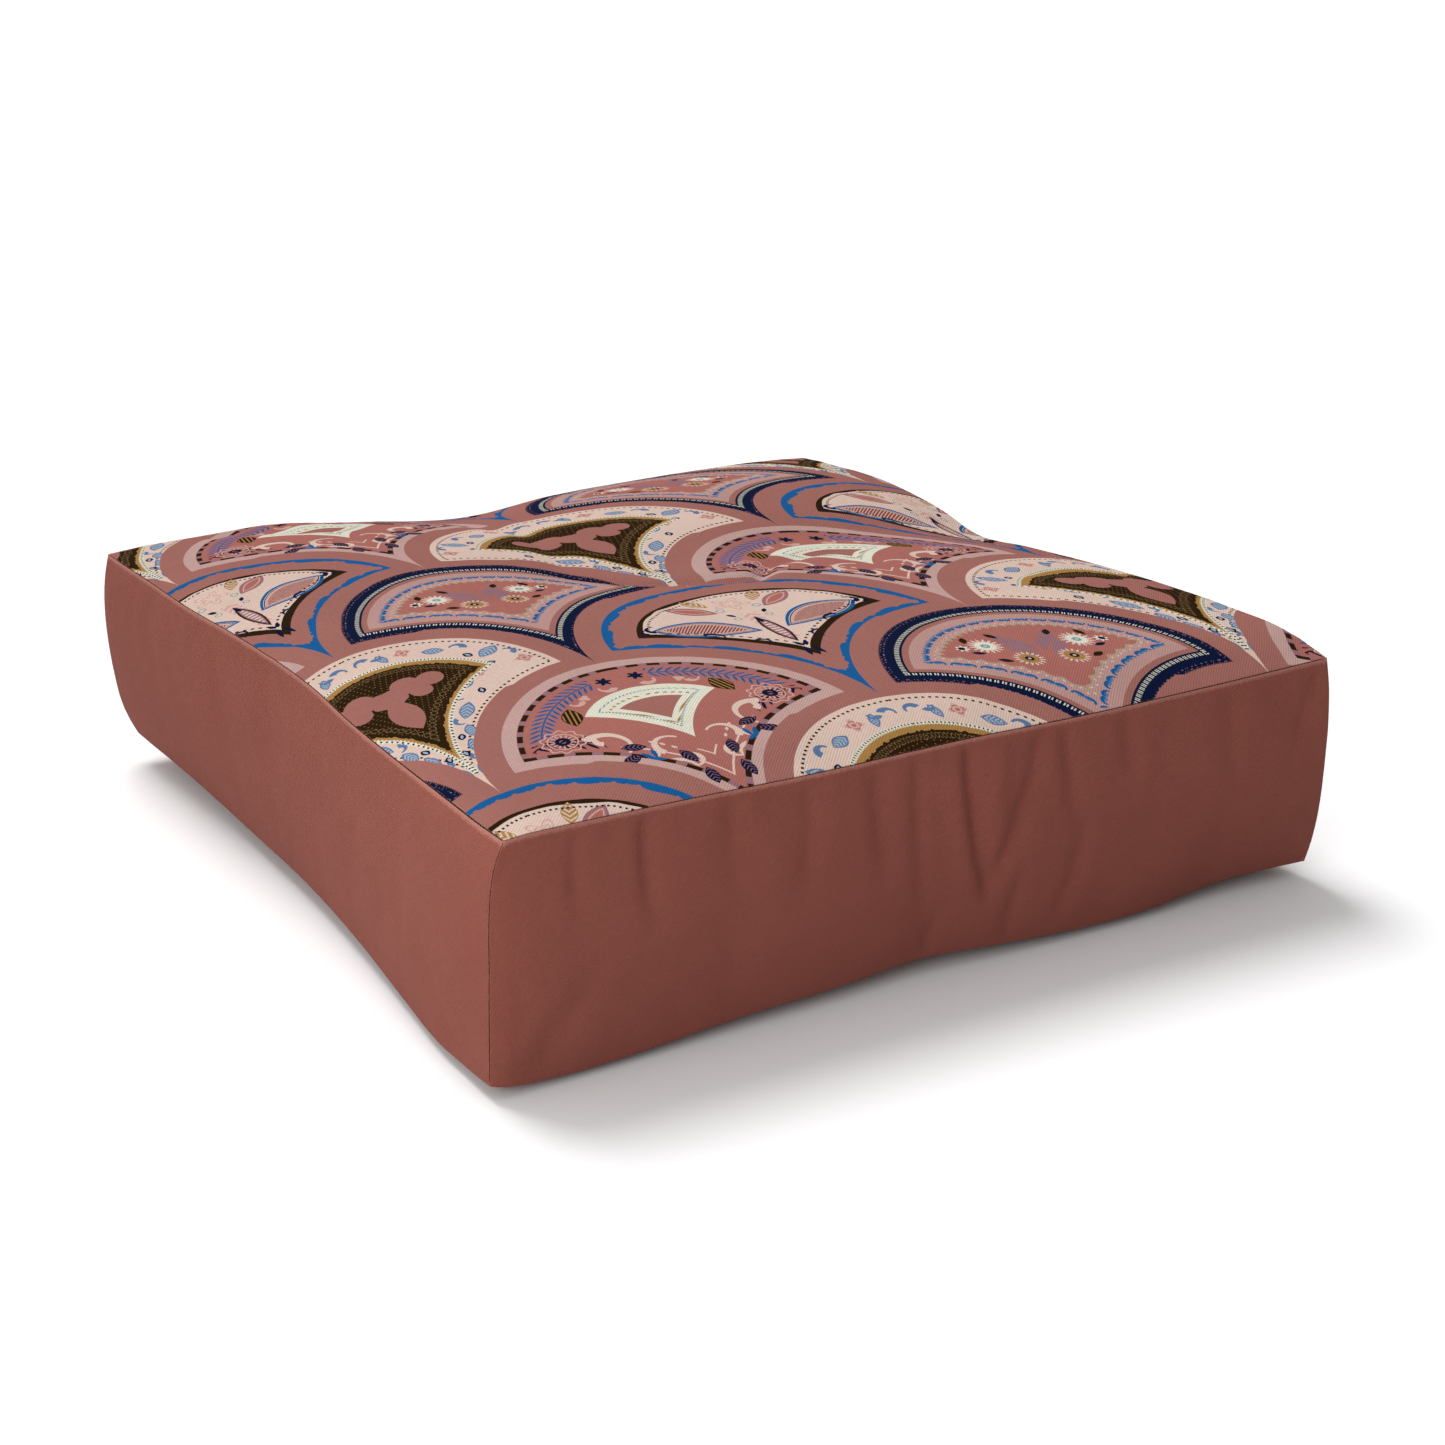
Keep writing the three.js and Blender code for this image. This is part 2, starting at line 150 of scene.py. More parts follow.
def patch_between(corners, curves, u, v):
    """A smooth patch over the four seams. u runs along X and v along Y, from 0 to 1."""
    seam = [seam_line(corners, curves, k, w) for k, w in enumerate((u, v, 1 - u, 1 - v))]
    u, v = u[..., None], v[..., None]
    ruled = (1 - v) * seam[FRONT] + v * seam[REAR] + (1 - u) * seam[LEFT] + u * seam[RIGHT]
    flat = (1 - v) * ((1 - u) * corners[0] + u * corners[1])
    return ruled - flat - v * ((1 - u) * corners[3] + u * corners[2])


def top_surface(u, v):
    points = patch_between(TOP_CORNERS, TOP_SEAM, u, v)
    points[..., 2] += CROWN * (1 - np.abs(2 * u - 1) ** 2.6) * (1 - np.abs(2 * v - 1) ** 2.6)
    return points


def bottom_surface(u, v):
    points = patch_between(LOW_CORNERS, LOW_SEAM, u, v)
    rise = [np.clip((np.abs(2 * a - 1) - FLAT_SHARE) / (1 - FLAT_SHARE), 0, 1) for a in (u, v)]
    points[..., 2] *= 1 - (1 - rise[0] ** 1.6) * (1 - rise[1] ** 1.6)
    return points


def panel_surface(name, u, v):
    if name == "top":
        return top_surface(u, v)
    if name == "bottom":
        return bottom_surface(u, v)
    return side_surface(SIDES.index(name), u, v)


PANELS = ("top", "bottom", *SIDES)

# ---- Cloth simulation of the closed cover ----

SIM_ACROSS, SIM_UP = 72, 18  # squares along a seam and up a side
SIM_FRAMES = 20
SIM_INSET = 3 * MM  # the sewn shape starts this much smaller, because the filling swells it
SIM_CAP = 7 * MM  # no point moves further than this from the sewn shape
SEAM_GATHER = 0.035  # how much shorter the seams are than the cloth beside them
CLOTH_SPREAD = 0.012  # how much longer the cloth between them grows
PINNED_SHARE = 0.7  # the share of the bottom's half width that is held still on the floor


def grid(us, vs):
    return np.meshgrid(us, vs, indexing="ij")


def quads(rows, columns):
    """The corner numbers of each square of a grid that is stored row by row."""
    n = np.arange(rows * columns).reshape(rows, columns)
    return np.stack([n[:-1, :-1], n[1:, :-1], n[1:, 1:], n[:-1, 1:]], -1).reshape(-1, 4)


def coarse_steps(name):
    up = SIM_ACROSS if name in ("top", "bottom") else SIM_UP
    return np.linspace(0, 1, SIM_ACROSS + 1), np.linspace(0, 1, up + 1)


def new_object(name, data):
    obj = bpy.data.objects.new(name, data)
    bpy.context.scene.collection.objects.link(obj)
    return obj


def mesh_object(name, points, faces):
    mesh = bpy.data.meshes.new(name)
    mesh.from_pydata(points.tolist(), [], faces.tolist() if hasattr(faces, "tolist") else faces)
    mesh.shade_smooth()
    return new_object(name, mesh)


def weld(grids):
    """Numbers the points of several grids, with one number for points in the same place.

    Returns the first point of each number, and every point's number.
    """
    stacked = np.concatenate([points.reshape(-1, 3) for points in grids])
    places = np.round(stacked / (0.1 * MM)).astype(int)
    _, first, number = np.unique(places, axis=0, return_index=True, return_inverse=True)
    return first, number.reshape(-1)


def simulate_cover():
    """Blows the sewn cover up a little. Returns how far each coarse grid point moves, by panel."""
    sewn = {name: panel_surface(name, *grid(*coarse_steps(name))) for name in PANELS}
    stacked = np.concatenate([points.reshape(-1, 3) for points in sewn.values()])
    first, welded = weld(sewn.values())
    faces, offset = [], 0
    for name, points in sewn.items():
        squares = quads(*points.shape[:2])
        if name == "bottom":
            squares = squares[:, ::-1]
        faces.append(welded[squares + offset])
        offset += points.shape[0] * points.shape[1]
    start = stacked[first]
    middle = np.array([0, 0, ZIP_Z])
    reach = np.array([HALF, HALF, ZIP_Z])
    start = middle + (start - middle) * (1 - SIM_INSET / reach)
    cover = mesh_object("sewn_cover", start, np.concatenate(faces))

    seam_points = cover.vertex_groups.new(name="seam")
    uses = np.bincount(welded, minlength=len(first))
    seam_points.add(np.flatnonzero(uses > 1).tolist(), 1.0, "REPLACE")
    pinned = cover.vertex_groups.new(name="pinned")
    resting = (start[:, 2] < SEAM_LOW) & (np.abs(start[:, :2]).max(1) < PINNED_SHARE * HALF)
    pinned.add(np.flatnonzero(resting).tolist(), 1.0, "REPLACE")

    cloth = cover.modifiers.new("cloth", "CLOTH").settings
    cloth.quality = 6
    cloth.mass = 0.25
    cloth.tension_stiffness = cloth.compression_stiffness = 25
    cloth.shear_stiffness = 8
    cloth.bending_stiffness = 0.6
    cloth.use_pressure = True
    cloth.uniform_pressure_force = 4
    cloth.vertex_group_mass = "pinned"
    cloth.vertex_group_shrink = "seam"
    cloth.shrink_min = -CLOTH_SPREAD
    cloth.shrink_max = SEAM_GATHER
    cloth.effector_weights.gravity = 0
    for number in range(1, SIM_FRAMES + 1):
        bpy.context.scene.frame_set(number)
    evaluated = cover.evaluated_get(bpy.context.evaluated_depsgraph_get())
    blown = np.array([v.co for v in evaluated.data.vertices])
    bpy.context.scene.frame_set(1)
    bpy.data.objects.remove(cover)

    moved = (blown - stacked[first])[welded]
    length = np.linalg.norm(moved, axis=1, keepdims=True)
    moved *= np.tanh(length / SIM_CAP) * SIM_CAP / np.maximum(length, 1e-9)
    result, offset = {}, 0
    for name, points in sewn.items():
        count = points.shape[0] * points.shape[1]
        result[name] = moved[offset : offset + count].reshape(points.shape)
        offset += count
    return result


# ---- The finished surface: the blown shape with its folds, and the rear kept straight along the zip ----

# Folds as a panel's name, half width and depth in millimetres, and (along, up, strength) points.
# Along and up are shares of the panel. A negative depth is a ridge.
FOLDS = [
    ("front", 7, 3.2, [(0.075, 1, 0.7), (0.080, 0.75, 0.7), (0.085, 0.5, 0)]),
    ("front", 7, 4.2, [(0.147, 1, 1), (0.155, 0.72, 0.9), (0.165, 0.5, 0)]),
    ("front", 9, 3.0, [(0.240, 1, 1), (0.245, 0.75, 0.7), (0.250, 0.5, 0)]),
    ("front", 10, 3.4, [(0.330, 1, 0.8), (0.330, 0.7, 0.8), (0.325, 0.4, 0)]),
    ("front", 10, 4.2, [(0.405, 1, 1), (0.415, 0.7, 0.9), (0.430, 0.35, 0)]),
    ("front", 8, 3.2, [(0.455, 1, 0.9), (0.462, 0.7, 0.9), (0.475, 0.3, 0.5), (0.480, 0.1, 0)]),
    ("front", 6, 5.6, [(0.517, 1, 0.7), (0.522, 0.8, 0.9), (0.535, 0.55, 1), (0.552, 0.33, 0.9),
                       (0.558, 0.22, 0)]),
    ("front", 10, -3.4, [(0.498, 0.95, 0.7), (0.506, 0.75, 1), (0.520, 0.5, 0.8),
                         (0.540, 0.25, 0)]),
    ("front", 9, -2.8, [(0.560, 0.95, 0.5), (0.555, 0.75, 1), (0.560, 0.55, 0.8),
                        (0.566, 0.4, 0)]),
    ("front", 9, 5.4, [(0.612, 1, 0.8), (0.603, 0.78, 1), (0.585, 0.58, 0.9),
                       (0.566, 0.4, 0.8), (0.553, 0.28, 0)]),
    ("front", 8, 3.8, [(0.640, 1, 1), (0.648, 0.8, 1), (0.655, 0.6, 0.6), (0.660, 0.45, 0)]),
    ("front", 9, 3.4, [(0.675, 0.62, 0), (0.668, 0.42, 1), (0.655, 0.2, 0.8), (0.645, 0.06, 0)]),
    ("front", 8, 3.0, [(0.600, 0.45, 0), (0.592, 0.28, 1), (0.585, 0.08, 0.5)]),
    ("front", 8, 2.8, [(0.500, 0.3, 0), (0.493, 0.15, 1), (0.488, 0.02, 0.6)]),
    ("front", 9, 3.6, [(0.720, 1, 1), (0.727, 0.75, 0.8), (0.735, 0.5, 0)]),
    ("front", 10, 3.2, [(0.860, 1, 1), (0.865, 0.7, 0.8), (0.870, 0.4, 0)]),
    ("front", 9, 4.0, [(0.985, 0.96, 0.9), (0.962, 0.75, 1), (0.935, 0.5, 0)]),
    ("front", 12, 2.4, [(0.040, 0.03, 0.8), (0.085, 0.3, 1), (0.120, 0.55, 0)]),
    ("top", 9, 6.5, [(0.36, 0.66, 0), (0.415, 0.60, 0.7), (0.465, 0.545, 1), (0.53, 0.50, 0.8),
                     (0.58, 0.48, 1), (0.62, 0.525, 0.9), (0.70, 0.54, 0.5), (0.80, 0.53, 0)]),
    ("top", 14, 4.0, [(0.41, 0.95, 0.6), (0.455, 0.80, 1), (0.42, 0.65, 0.7), (0.415, 0.6, 0)]),
    ("top", 16, 4.0, [(0.13, 0.99, 0.7), (0.22, 0.93, 1), (0.33, 0.90, 0)]),
    ("top", 14, 3.4, [(0.985, 0.30, 0.8), (0.90, 0.33, 1), (0.80, 0.36, 0)]),
    ("right", 12, 4.4, [(0.60, 1, 1), (0.585, 0.7, 0.9), (0.56, 0.35, 0)]),
    ("right", 11, 3.6, [(0.66, 1, 0.9), (0.68, 0.65, 0.8), (0.70, 0.3, 0)]),
    ("right", 10, 3.4, [(0.30, 1, 1), (0.31, 0.7, 0.8), (0.33, 0.4, 0)]),
    ("right", 10, 2.8, [(0.86, 1, 1), (0.84, 0.7, 0.8), (0.83, 0.4, 0)]),
    ("left", 14, 2.2, [(0.44, 1, 0.8), (0.45, 0.7, 0.8), (0.47, 0.4, 0)]),
    ("left", 12, 2.4, [(0.93, 0.05, 0.8), (0.88, 0.3, 1), (0.84, 0.5, 0)]),
    ("rear", 10, 3.6, [(0.22, 1, 1), (0.215, 0.85, 0.8), (0.21, 0.68, 0)]),
    ("rear", 10, 3.6, [(0.53, 1, 1), (0.54, 0.85, 0.8), (0.55, 0.68, 0)]),
    ("rear", 10, 3.4, [(0.78, 1, 1), (0.775, 0.85, 0.8), (0.77, 0.7, 0)]),
    ("rear", 11, 3.2, [(0.62, 0, 1), (0.625, 0.15, 0.8), (0.63, 0.32, 0)]),
]
PUCKER = 0.45 * MM  # height of the small gathers beside the seams
ZIP_BAND = (16 * MM, 84 * MM)  # straight this close to the zip's line, free beyond that
ZIP_SPAN = (347 * MM, 373 * MM)  # the same for the way along it, from the middle
ZIP_SMOOTH = (18 * MM, 34 * MM)  # without folds this close to the zip's line


def fade(distance, limits):
    """1 up to the nearer limit, falling smoothly to 0 at the further one."""
    near, far = limits
    f = np.clip((far - distance) / (far - near), 0, 1)
    return f * f * (3 - 2 * f)


def blend_matrix(coarse, fine):
    """Weights that carry values from even coarse steps to fine ones along a smooth curve."""
    n = len(coarse)
    place = np.clip(fine, 0, 1) * (n - 1)
    i = np.minimum(place.astype(int), n - 2)
    f = place - i
    weights = np.zeros((len(fine), n))
    pieces = (
        -0.5 * f + f**2 - 0.5 * f**3,
        1 - 2.5 * f**2 + 1.5 * f**3,
        0.5 * f + 2 * f**2 - 1.5 * f**3,
        -0.5 * f**2 + 0.5 * f**3,
    )
    for k, piece in enumerate(pieces):
        np.add.at(weights, (np.arange(len(fine)), np.clip(i + k - 1, 0, n - 1)), piece)
    return weights


def panel_length(name):
    return WIDTH if name in ("top", "bottom") else BOXING


def blown_points(name, us, vs):
    """Points of the sewn shape, moved as the simulation moved its cloth."""
    across, up = coarse_steps(name)
    shift = np.einsum(
        "ai,ijk,bj->abk", blend_matrix(across, us), moved[name], blend_matrix(up, vs)
    )
    return panel_surface(name, *grid(us, vs)) + shift


def smooth_points(name, us, vs):
    """Points of the blown cover at every pair of us and vs, without its folds."""
    us, vs = np.clip(us, 0, 1), np.clip(vs, 0, 1)
    points = blown_points(name, us, vs)
    if name in SIDES:
        middle = blown_points(name, us, np.array([0.5]))[..., 2]
        points[..., 2] += 4 * vs * (1 - vs) * (ZIP_Z - middle)
    if name == "rear":
        off_zip = np.abs(vs - 0.5) * BOXING
        straight = fade(np.abs(us - 0.5) * WIDTH, ZIP_SPAN)[:, None] * fade(off_zip, ZIP_BAND)
        points[..., 1] += straight * (HALF - points[..., 1])
        points[..., 2] += straight * (SEAM_LOW + vs * BOXING - points[..., 2])
    points[..., 2] = np.maximum(points[..., 2], 0.2 * MM)
    return points


def facing(name, us, vs, e=0.002):
    """The outward direction of the cover at every pair of us and vs."""
    us, vs = np.clip(us, e, 1 - e), np.clip(vs, e, 1 - e)
    du = smooth_points(name, us + e, vs) - smooth_points(name, us - e, vs)
    dv = smooth_points(name, us, vs + e) - smooth_points(name, us, vs - e)
    n = np.cross(du, dv) * (-1 if name == "bottom" else 1)
    return n / np.maximum(np.linalg.norm(n, axis=-1, keepdims=True), 1e-12)


def relief(name, us, vs):
    """How far the folds and gathers lift the cloth, in metres."""
    size = np.array([WIDTH, panel_length(name)])
    place = np.stack(grid(us, vs), -1) * size
    lift = np.zeros(place.shape[:2])
    for panel, half_width, depth, points in FOLDS:
        if panel != name:
            continue
        points = np.array(points)
        best = np.full(lift.shape, np.inf)
        strength = np.zeros(lift.shape)
        for a, b in zip(points[:-1], points[1:]):
            start, step = a[:2] * size, (b[:2] - a[:2]) * size
            f = np.clip((place - start) @ step / (step @ step), 0, 1)
            gap = np.linalg.norm(place - start - f[..., None] * step, axis=-1)
            nearer = gap < best
            best = np.where(nearer, gap, best)
            strength = np.where(nearer, a[2] + f * (b[2] - a[2]), strength)
        lift -= depth * MM * strength * np.exp(-((best / (half_width * MM)) ** 2))
    edge = np.minimum(
        np.minimum(us, 1 - us)[:, None] * WIDTH, np.minimum(vs, 1 - vs)[None, :] * size[1]
    )
    x, y = place[..., 0], place[..., 1]
    # Waves per metre that never line up, so that the unevenness doesn't repeat.
    ripple = np.sin(x * 210 + 3 * np.sin(y * 19 + 1)) * np.sin(y * 170 + 3 * np.sin(x * 23))
    gather = np.sin(x * 460 + 4 * np.sin(x * 31)) + np.sin(y * 430 + 4 * np.sin(y * 37))
    near_seam = np.exp(-edge / (16 * MM))
    lift += PUCKER * (0.5 * gather * near_seam + 0.25 * ripple)
    if name == "rear":
        lift *= 1 - fade(np.abs(vs - 0.5) * BOXING, ZIP_SMOOTH)[None, :]
    return lift * (1 - fade(edge, (3 * MM, 12 * MM)))


def cover_points(name, us, vs):
    return smooth_points(name, us, vs) + facing(name, us, vs) * relief(name, us, vs)[..., None]


# ---- Panels: fine grids with a rolled seam edge and a thickness ----

CLOTH = 0.8 * MM
LIP = 0.5 * MM  # radius of the roll where a panel turns into its seam
ALLOWANCE = 5 * MM
FINE_STEP = 5 * MM
FOLDED_STEP = 3.5 * MM  # along the front, for its sharper folds
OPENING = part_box("rear_panel_upper")[0][2] - ZIP_Z  # from the zip's line to a folded edge

# The roll at a seam, as (distance from the box edge, depth), from the flat cloth to the inside.
ROLL = [
    (LIP * (1 + math.sqrt(2) - math.cos(math.radians(a))), LIP * (1 - math.sin(math.radians(a))))
    for a in (75, 50, 25, 0, -45)
]
ROLL.append(tuple(x + ALLOWANCE / math.sqrt(2) for x in ROLL[-1]))
# The fold beside the zip, as (distance from its edge, depth), from the flat cloth to the inside.
FOLD = [
    (x * MM, depth * MM)
    for x, depth in ((1.6, 0.02), (0.9, 0.1), (0.4, 0.32), (0.1, 0.65), (0, 1.0), (0.12, 1.4),
                     (0.5, 1.75), (1.2, 1.92), (6, 1.95), (11, 1.95))
]
MARGIN = {"seam": LIP * (1 + math.sqrt(2)), "fold": 2.4 * MM}


def rows_across(length, start="seam", end="seam", step=FINE_STEP):
    """Places across a strip of cloth in metres, and each one's depth below the surface."""
    edges = {"seam": ROLL, "fold": FOLD}
    low = list(reversed(edges[start]))
    high = [(length - x, depth) for x, depth in edges[end]]
    span = MARGIN[start], length - MARGIN[end]
    steps = max(2, round((span[1] - span[0]) / step))
    rows = np.array(low + [(x, 0) for x in np.linspace(*span, steps)] + high)
    return rows[:, 0], rows[:, 1]


def normals_of(points):
    du, dv = np.gradient(points, axis=0), np.gradient(points, axis=1)
    n = np.cross(du, dv)
    return n / np.maximum(np.linalg.norm(n, axis=-1, keepdims=True), 1e-12)


def closed_sheet(name, outer, inner, flipped=False):
    """A closed mesh between two grids of points."""
    rows, columns = outer.shape[:2]
    count = rows * columns
    outside = quads(rows, columns)
    index = np.arange(count).reshape(rows, columns)
    loop = np.concatenate([index[:, 0], index[-1, 1:], index[-2::-1, -1], index[0, -2:0:-1]])
    if flipped:
        outside, loop = outside[:, ::-1], loop[::-1]
    after = np.roll(loop, -1)
    rim = np.stack([after, loop, loop + count, after + count], -1)
    faces = np.concatenate([outside, outside[:, ::-1] + count, rim])
    points = np.concatenate([outer.reshape(-1, 3), inner.reshape(-1, 3)])
    return mesh_object(name, points, faces)


def keep_fabric(obj, x, y, edge):
    """Stores on each point its place on the flat cloth and how far it is from the next seam."""
    fabric = np.stack([x, y, edge], -1).reshape(-1, 3)
    layer = obj.data.attributes.new("fabric", "FLOAT_VECTOR", "POINT")
    layer.data.foreach_set("vector", np.tile(fabric, (2, 1)).ravel())


def make_panel(piece, name, strip=(0.0, 1.0), edges=("seam", "seam")):
    """One panel of the cover, or a strip of it between two shares of its height."""
    length = panel_length(name)
    across, depth_u = rows_across(WIDTH, step=FOLDED_STEP if name == "front" else FINE_STEP)
    up, depth_v = rows_across((strip[1] - strip[0]) * length, *edges)
    us, vs = across / WIDTH, strip[0] + up / length
    depth = depth_u[:, None] + depth_v[None, :]
    outer = cover_points(name, us, vs) - facing(name, us, vs) * depth[..., None]
    turn = normals_of(outer) * (-1 if name == "bottom" else 1)
    obj = closed_sheet(piece, outer, outer - turn * CLOTH, flipped=name == "bottom")
    x, y = grid(across - WIDTH / 2, vs * length - length / 2)
    to_seam = np.minimum(
        np.minimum(across, WIDTH - across)[:, None],
        np.minimum(
            up if edges[0] == "seam" else 1.0, up[-1] - up if edges[1] == "seam" else 1.0
        )[None, :],
    )
    keep_fabric(obj, x, y, np.maximum(to_seam, 0))
    return obj


# ---- Inside the cover: the insert's liner and its filling ----

LINER = 0.45 * MM  # its thickness
LINER_DEPTH = 7.4 * MM  # from the cover's surface to the liner
FILL_DEPTH = 8.6 * MM  # and to the filling
LINER_PUCKER = (9 * MM, 0.5 * MM)  # pitch and height of the liner's unevenness
FILL_LUMPS = (24 * MM, 3 * MM)


def welded_cover():
    """Each coarse point's place and inward direction, and its number in the welded cover.

    A direction has length 1 on a face. Where faces meet, it reaches as deep below each of them.
    """
    places, directions = [], []
    for name in PANELS:
        steps = coarse_steps(name)
        places.append(cover_points(name, *steps).reshape(-1, 3))
        directions.append(-facing(name, *steps).reshape(-1, 3))
    places, directions = np.concatenate(places), np.concatenate(directions)
    number = weld([panel_surface(name, *grid(*coarse_steps(name))) for name in PANELS])[1]
    total = np.zeros((number.max() + 1, 3))
    np.add.at(total, number, directions)
    middle = np.zeros_like(total)
    np.add.at(middle, number, places)
    middle /= np.bincount(number)[:, None]
    return middle[number], total[number], number


def clumps(points, pitch, height):
    """Soft lumps."""
    x, y, z = (points / pitch).T
    first = np.sin(x + 1.7 * np.sin(y * 0.7) + z) * np.sin(y + 1.3 * np.sin(x * 0.9) - z)
    second = np.sin(2.3 * x - y) * np.sin(1.9 * y + x + 2 * z)
    return height * (0.5 + 0.32 * first + 0.18 * second)[:, None]


def make_insert():
    """The sewn liner, one piece for each face, and the filling as one closed form."""
    places, inward, number = welded_cover()
    liner_depth = LINER_DEPTH + clumps(places, *LINER_PUCKER)
    outer = places + inward * liner_depth
    inner = places + inward * (liner_depth + LINER)
    lumpy = places + inward * (FILL_DEPTH + clumps(places, *FILL_LUMPS))
    pieces, faces, offset = {}, [], 0
    for name in PANELS:
        shape = [len(steps) for steps in coarse_steps(name)]
        these = slice(offset, offset + shape[0] * shape[1])
        pieces[name] = closed_sheet(
            f"insert_liner_{name}",
            outer[these].reshape(*shape, 3),
            inner[these].reshape(*shape, 3),
            flipped=name == "bottom",
        )
        squares = quads(*shape)
        if name == "bottom":
            squares = squares[:, ::-1]
        faces.append(number[squares + offset])
        offset = these.stop
    count = number.max() + 1
    points = np.zeros((count, 3))
    points[number] = lumpy
    return pieces, mesh_object("insert_fibre", points, np.concatenate(faces))


# ---- Zip, stitches and label ----


def rear_shares(x, z):
    """Places on the rear side as shares of its length and height."""
    return 0.5 - np.asarray(x) / WIDTH, (np.asarray(z) - SEAM_LOW) / BOXING


def make_tape(piece, node):
    low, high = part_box(node)
    across = np.linspace(low[0], high[0], 150)[::-1]
    heights = np.linspace(low[2], high[2], 9)
    shares = rear_shares(across, heights)
    base, out = smooth_points("rear", *shares), facing("rear", *shares)
    obj = closed_sheet(piece, base - out * (HALF - high[1]), base - out * (HALF - low[1]))
    x, y = grid(across, heights - ZIP_Z)
    keep_fabric(obj, x, y, 0 * x)
    return obj


def tube(path, radius, sides=6):
    """The points and faces of a tube along a path, an array of points."""
    ahead = np.gradient(path, axis=0)
    ahead /= np.maximum(np.linalg.norm(ahead, axis=1, keepdims=True), 1e-12)
    aside = np.cross(ahead, (0.31, 0.17, 0.93))
    aside /= np.linalg.norm(aside, axis=1, keepdims=True)
    above = np.cross(ahead, aside)
    turn = np.linspace(0, 2 * math.pi, sides, endpoint=False)
    ring = aside[:, None] * np.cos(turn)[:, None] + above[:, None] * np.sin(turn)[:, None]
    points = (path[:, None] + ring * radius).reshape(-1, 3)
    n = np.arange(len(path) * sides).reshape(len(path), sides)
    around = np.roll(n, -1, axis=1)
    faces = np.stack([n[:-1], around[:-1], around[1:], n[1:]], -1).reshape(-1, 4).tolist()
    return points, faces + [n[0][::-1].tolist(), n[-1].tolist()]


def joined(piece, parts):
    """One object from several sets of points and faces."""
    points, faces, offset = [], [], 0
    for some, their_faces in parts:
        points.append(some)
        faces += [[i + offset for i in face] for face in their_faces]
        offset += len(some)
    return mesh_object(piece, np.concatenate(points), faces)


COIL_PITCH, COIL_WIRE = 2.0 * MM, 0.36 * MM  # from turn to turn, and the wire's radius
COIL_STEPS = 10  # points round a turn
STITCH, THREAD = 3.6 * MM, 0.6 * MM  # from stitch to stitch, and the thread's thickness
SEAM_DEPTH = 3.2 * MM  # how far inside the cover its seams are stitched
CORNER_INSET = 1.6 * SEAM_DEPTH  # from an upright seam to its stitches
HOOKED = 0.45 * MM  # how far each turn of the coil reaches between two of the other half's
# A stitch as (share of the pitch along it, height in threads), or the dip where it is negative.
STITCH_ARC = np.array([(0.06, -1), (0.12, 0.2), (0.3, 0.85), (0.5, 1), (0.7, 0.85), (0.88, 0.2),
                       (0.94, -1)])


def make_coil(piece, node, up):
    """One side of the coil: a flattened spiral of nylon, with a turn for each tooth."""
    low, high = (np.array(corner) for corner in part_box(node))
    start, end = low[0] + COIL_WIRE, high[0] - COIL_WIRE
    middle, half = (low + high) / 2, (high - low) / 2 - COIL_WIRE
    turn = np.arange(int((end - start) / COIL_PITCH) * COIL_STEPS + 1) / COIL_STEPS
    along, aside = np.cos(2 * math.pi * turn), np.sin(2 * math.pi * turn)
    offset = 0.25 if up > 0 else -0.25
    path = np.column_stack([
        np.clip(start + (turn + offset + 0.28 * along) * COIL_PITCH, start, end),
        middle[1] + half[1] * np.sign(aside) * np.abs(aside) ** 0.7,
        middle[2] - up * (half[2] * along + HOOKED * (1 + along) / 2),
    ])
    return joined(piece, [tube(path, COIL_WIRE)])


def stitches(places, outward, sunk):
    """Tubes for a row of stitches along a line of places, each one dipping at both ends."""
    step = np.linalg.norm(np.diff(places, axis=0), axis=1)
    along = np.concatenate([[0], np.cumsum(step)])
    height = np.where(STITCH_ARC[:, 1] > 0, STITCH_ARC[:, 1] * THREAD, -sunk)
    parts = []
    for k in range(int(along[-1] / STITCH)):
        at = (k + STITCH_ARC[:, 0]) * STITCH
        line, out = (
            np.column_stack([np.interp(at, along, rows[:, i]) for i in range(3)])
            for rows in (places, outward)
        )
        parts.append(tube(line + out * height[:, None], THREAD / 2))
    return parts


def seam_stitches(name, along_u, end, inset):
    """Stitches inside the cover beside an edge of a panel, at its end 0 or 1."""
    steps = np.linspace(0.012, 0.988, 160)
    edge = np.array([inset / WIDTH if end == 0 else 1 - inset / WIDTH])
    us, vs = (steps, edge) if along_u else (edge, steps)
    out = facing(name, us, vs).reshape(-1, 3)
    places = smooth_points(name, us, vs).reshape(-1, 3) - out * SEAM_DEPTH
    return stitches(places, out, 0.3 * MM)


def make_label():
    """A blank folded ribbon, sewn into the corner seam at its left end."""
    low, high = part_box("care_label")
    width, height = high[0] - low[0], high[2] - low[2]
    across, up = grid(np.linspace(1, 0, 24), np.linspace(0, 1, 14))
    x, z = low[0] - 0.6 * MM + across * width, low[2] + up * height
    shares = rear_shares(x[:, 0], z[0])
    base, out = cover_points("rear", *shares), facing("rear", *shares)
    curl = 0.7 + 1.6 * across**2 * (0.6 + 0.4 * np.cos(up * 5)) + 0.25 * np.sin(across * 9 + up * 3)
    outer, inner = (base + out * (curl + lift)[..., None] * MM for lift in (0.5, 0.05))
    obj = closed_sheet("care_label_ribbon", outer, inner)
    to_side, to_end = np.minimum(across, 1 - across) * width, np.minimum(up, 1 - up) * height
    keep_fabric(obj, x, z, np.minimum(to_side, to_end))
    return obj


# ---- Arithmetic on shader sockets ----


def srgb(red, green, blue):
    """A colour given in 0 to 255 as linear light, for a shader's socket."""
    parts = [c / 255 for c in (red, green, blue)]
    return (*[c / 12.92 if c <= 0.04045 else ((c + 0.055) / 1.055) ** 2.4 for c in parts], 1)


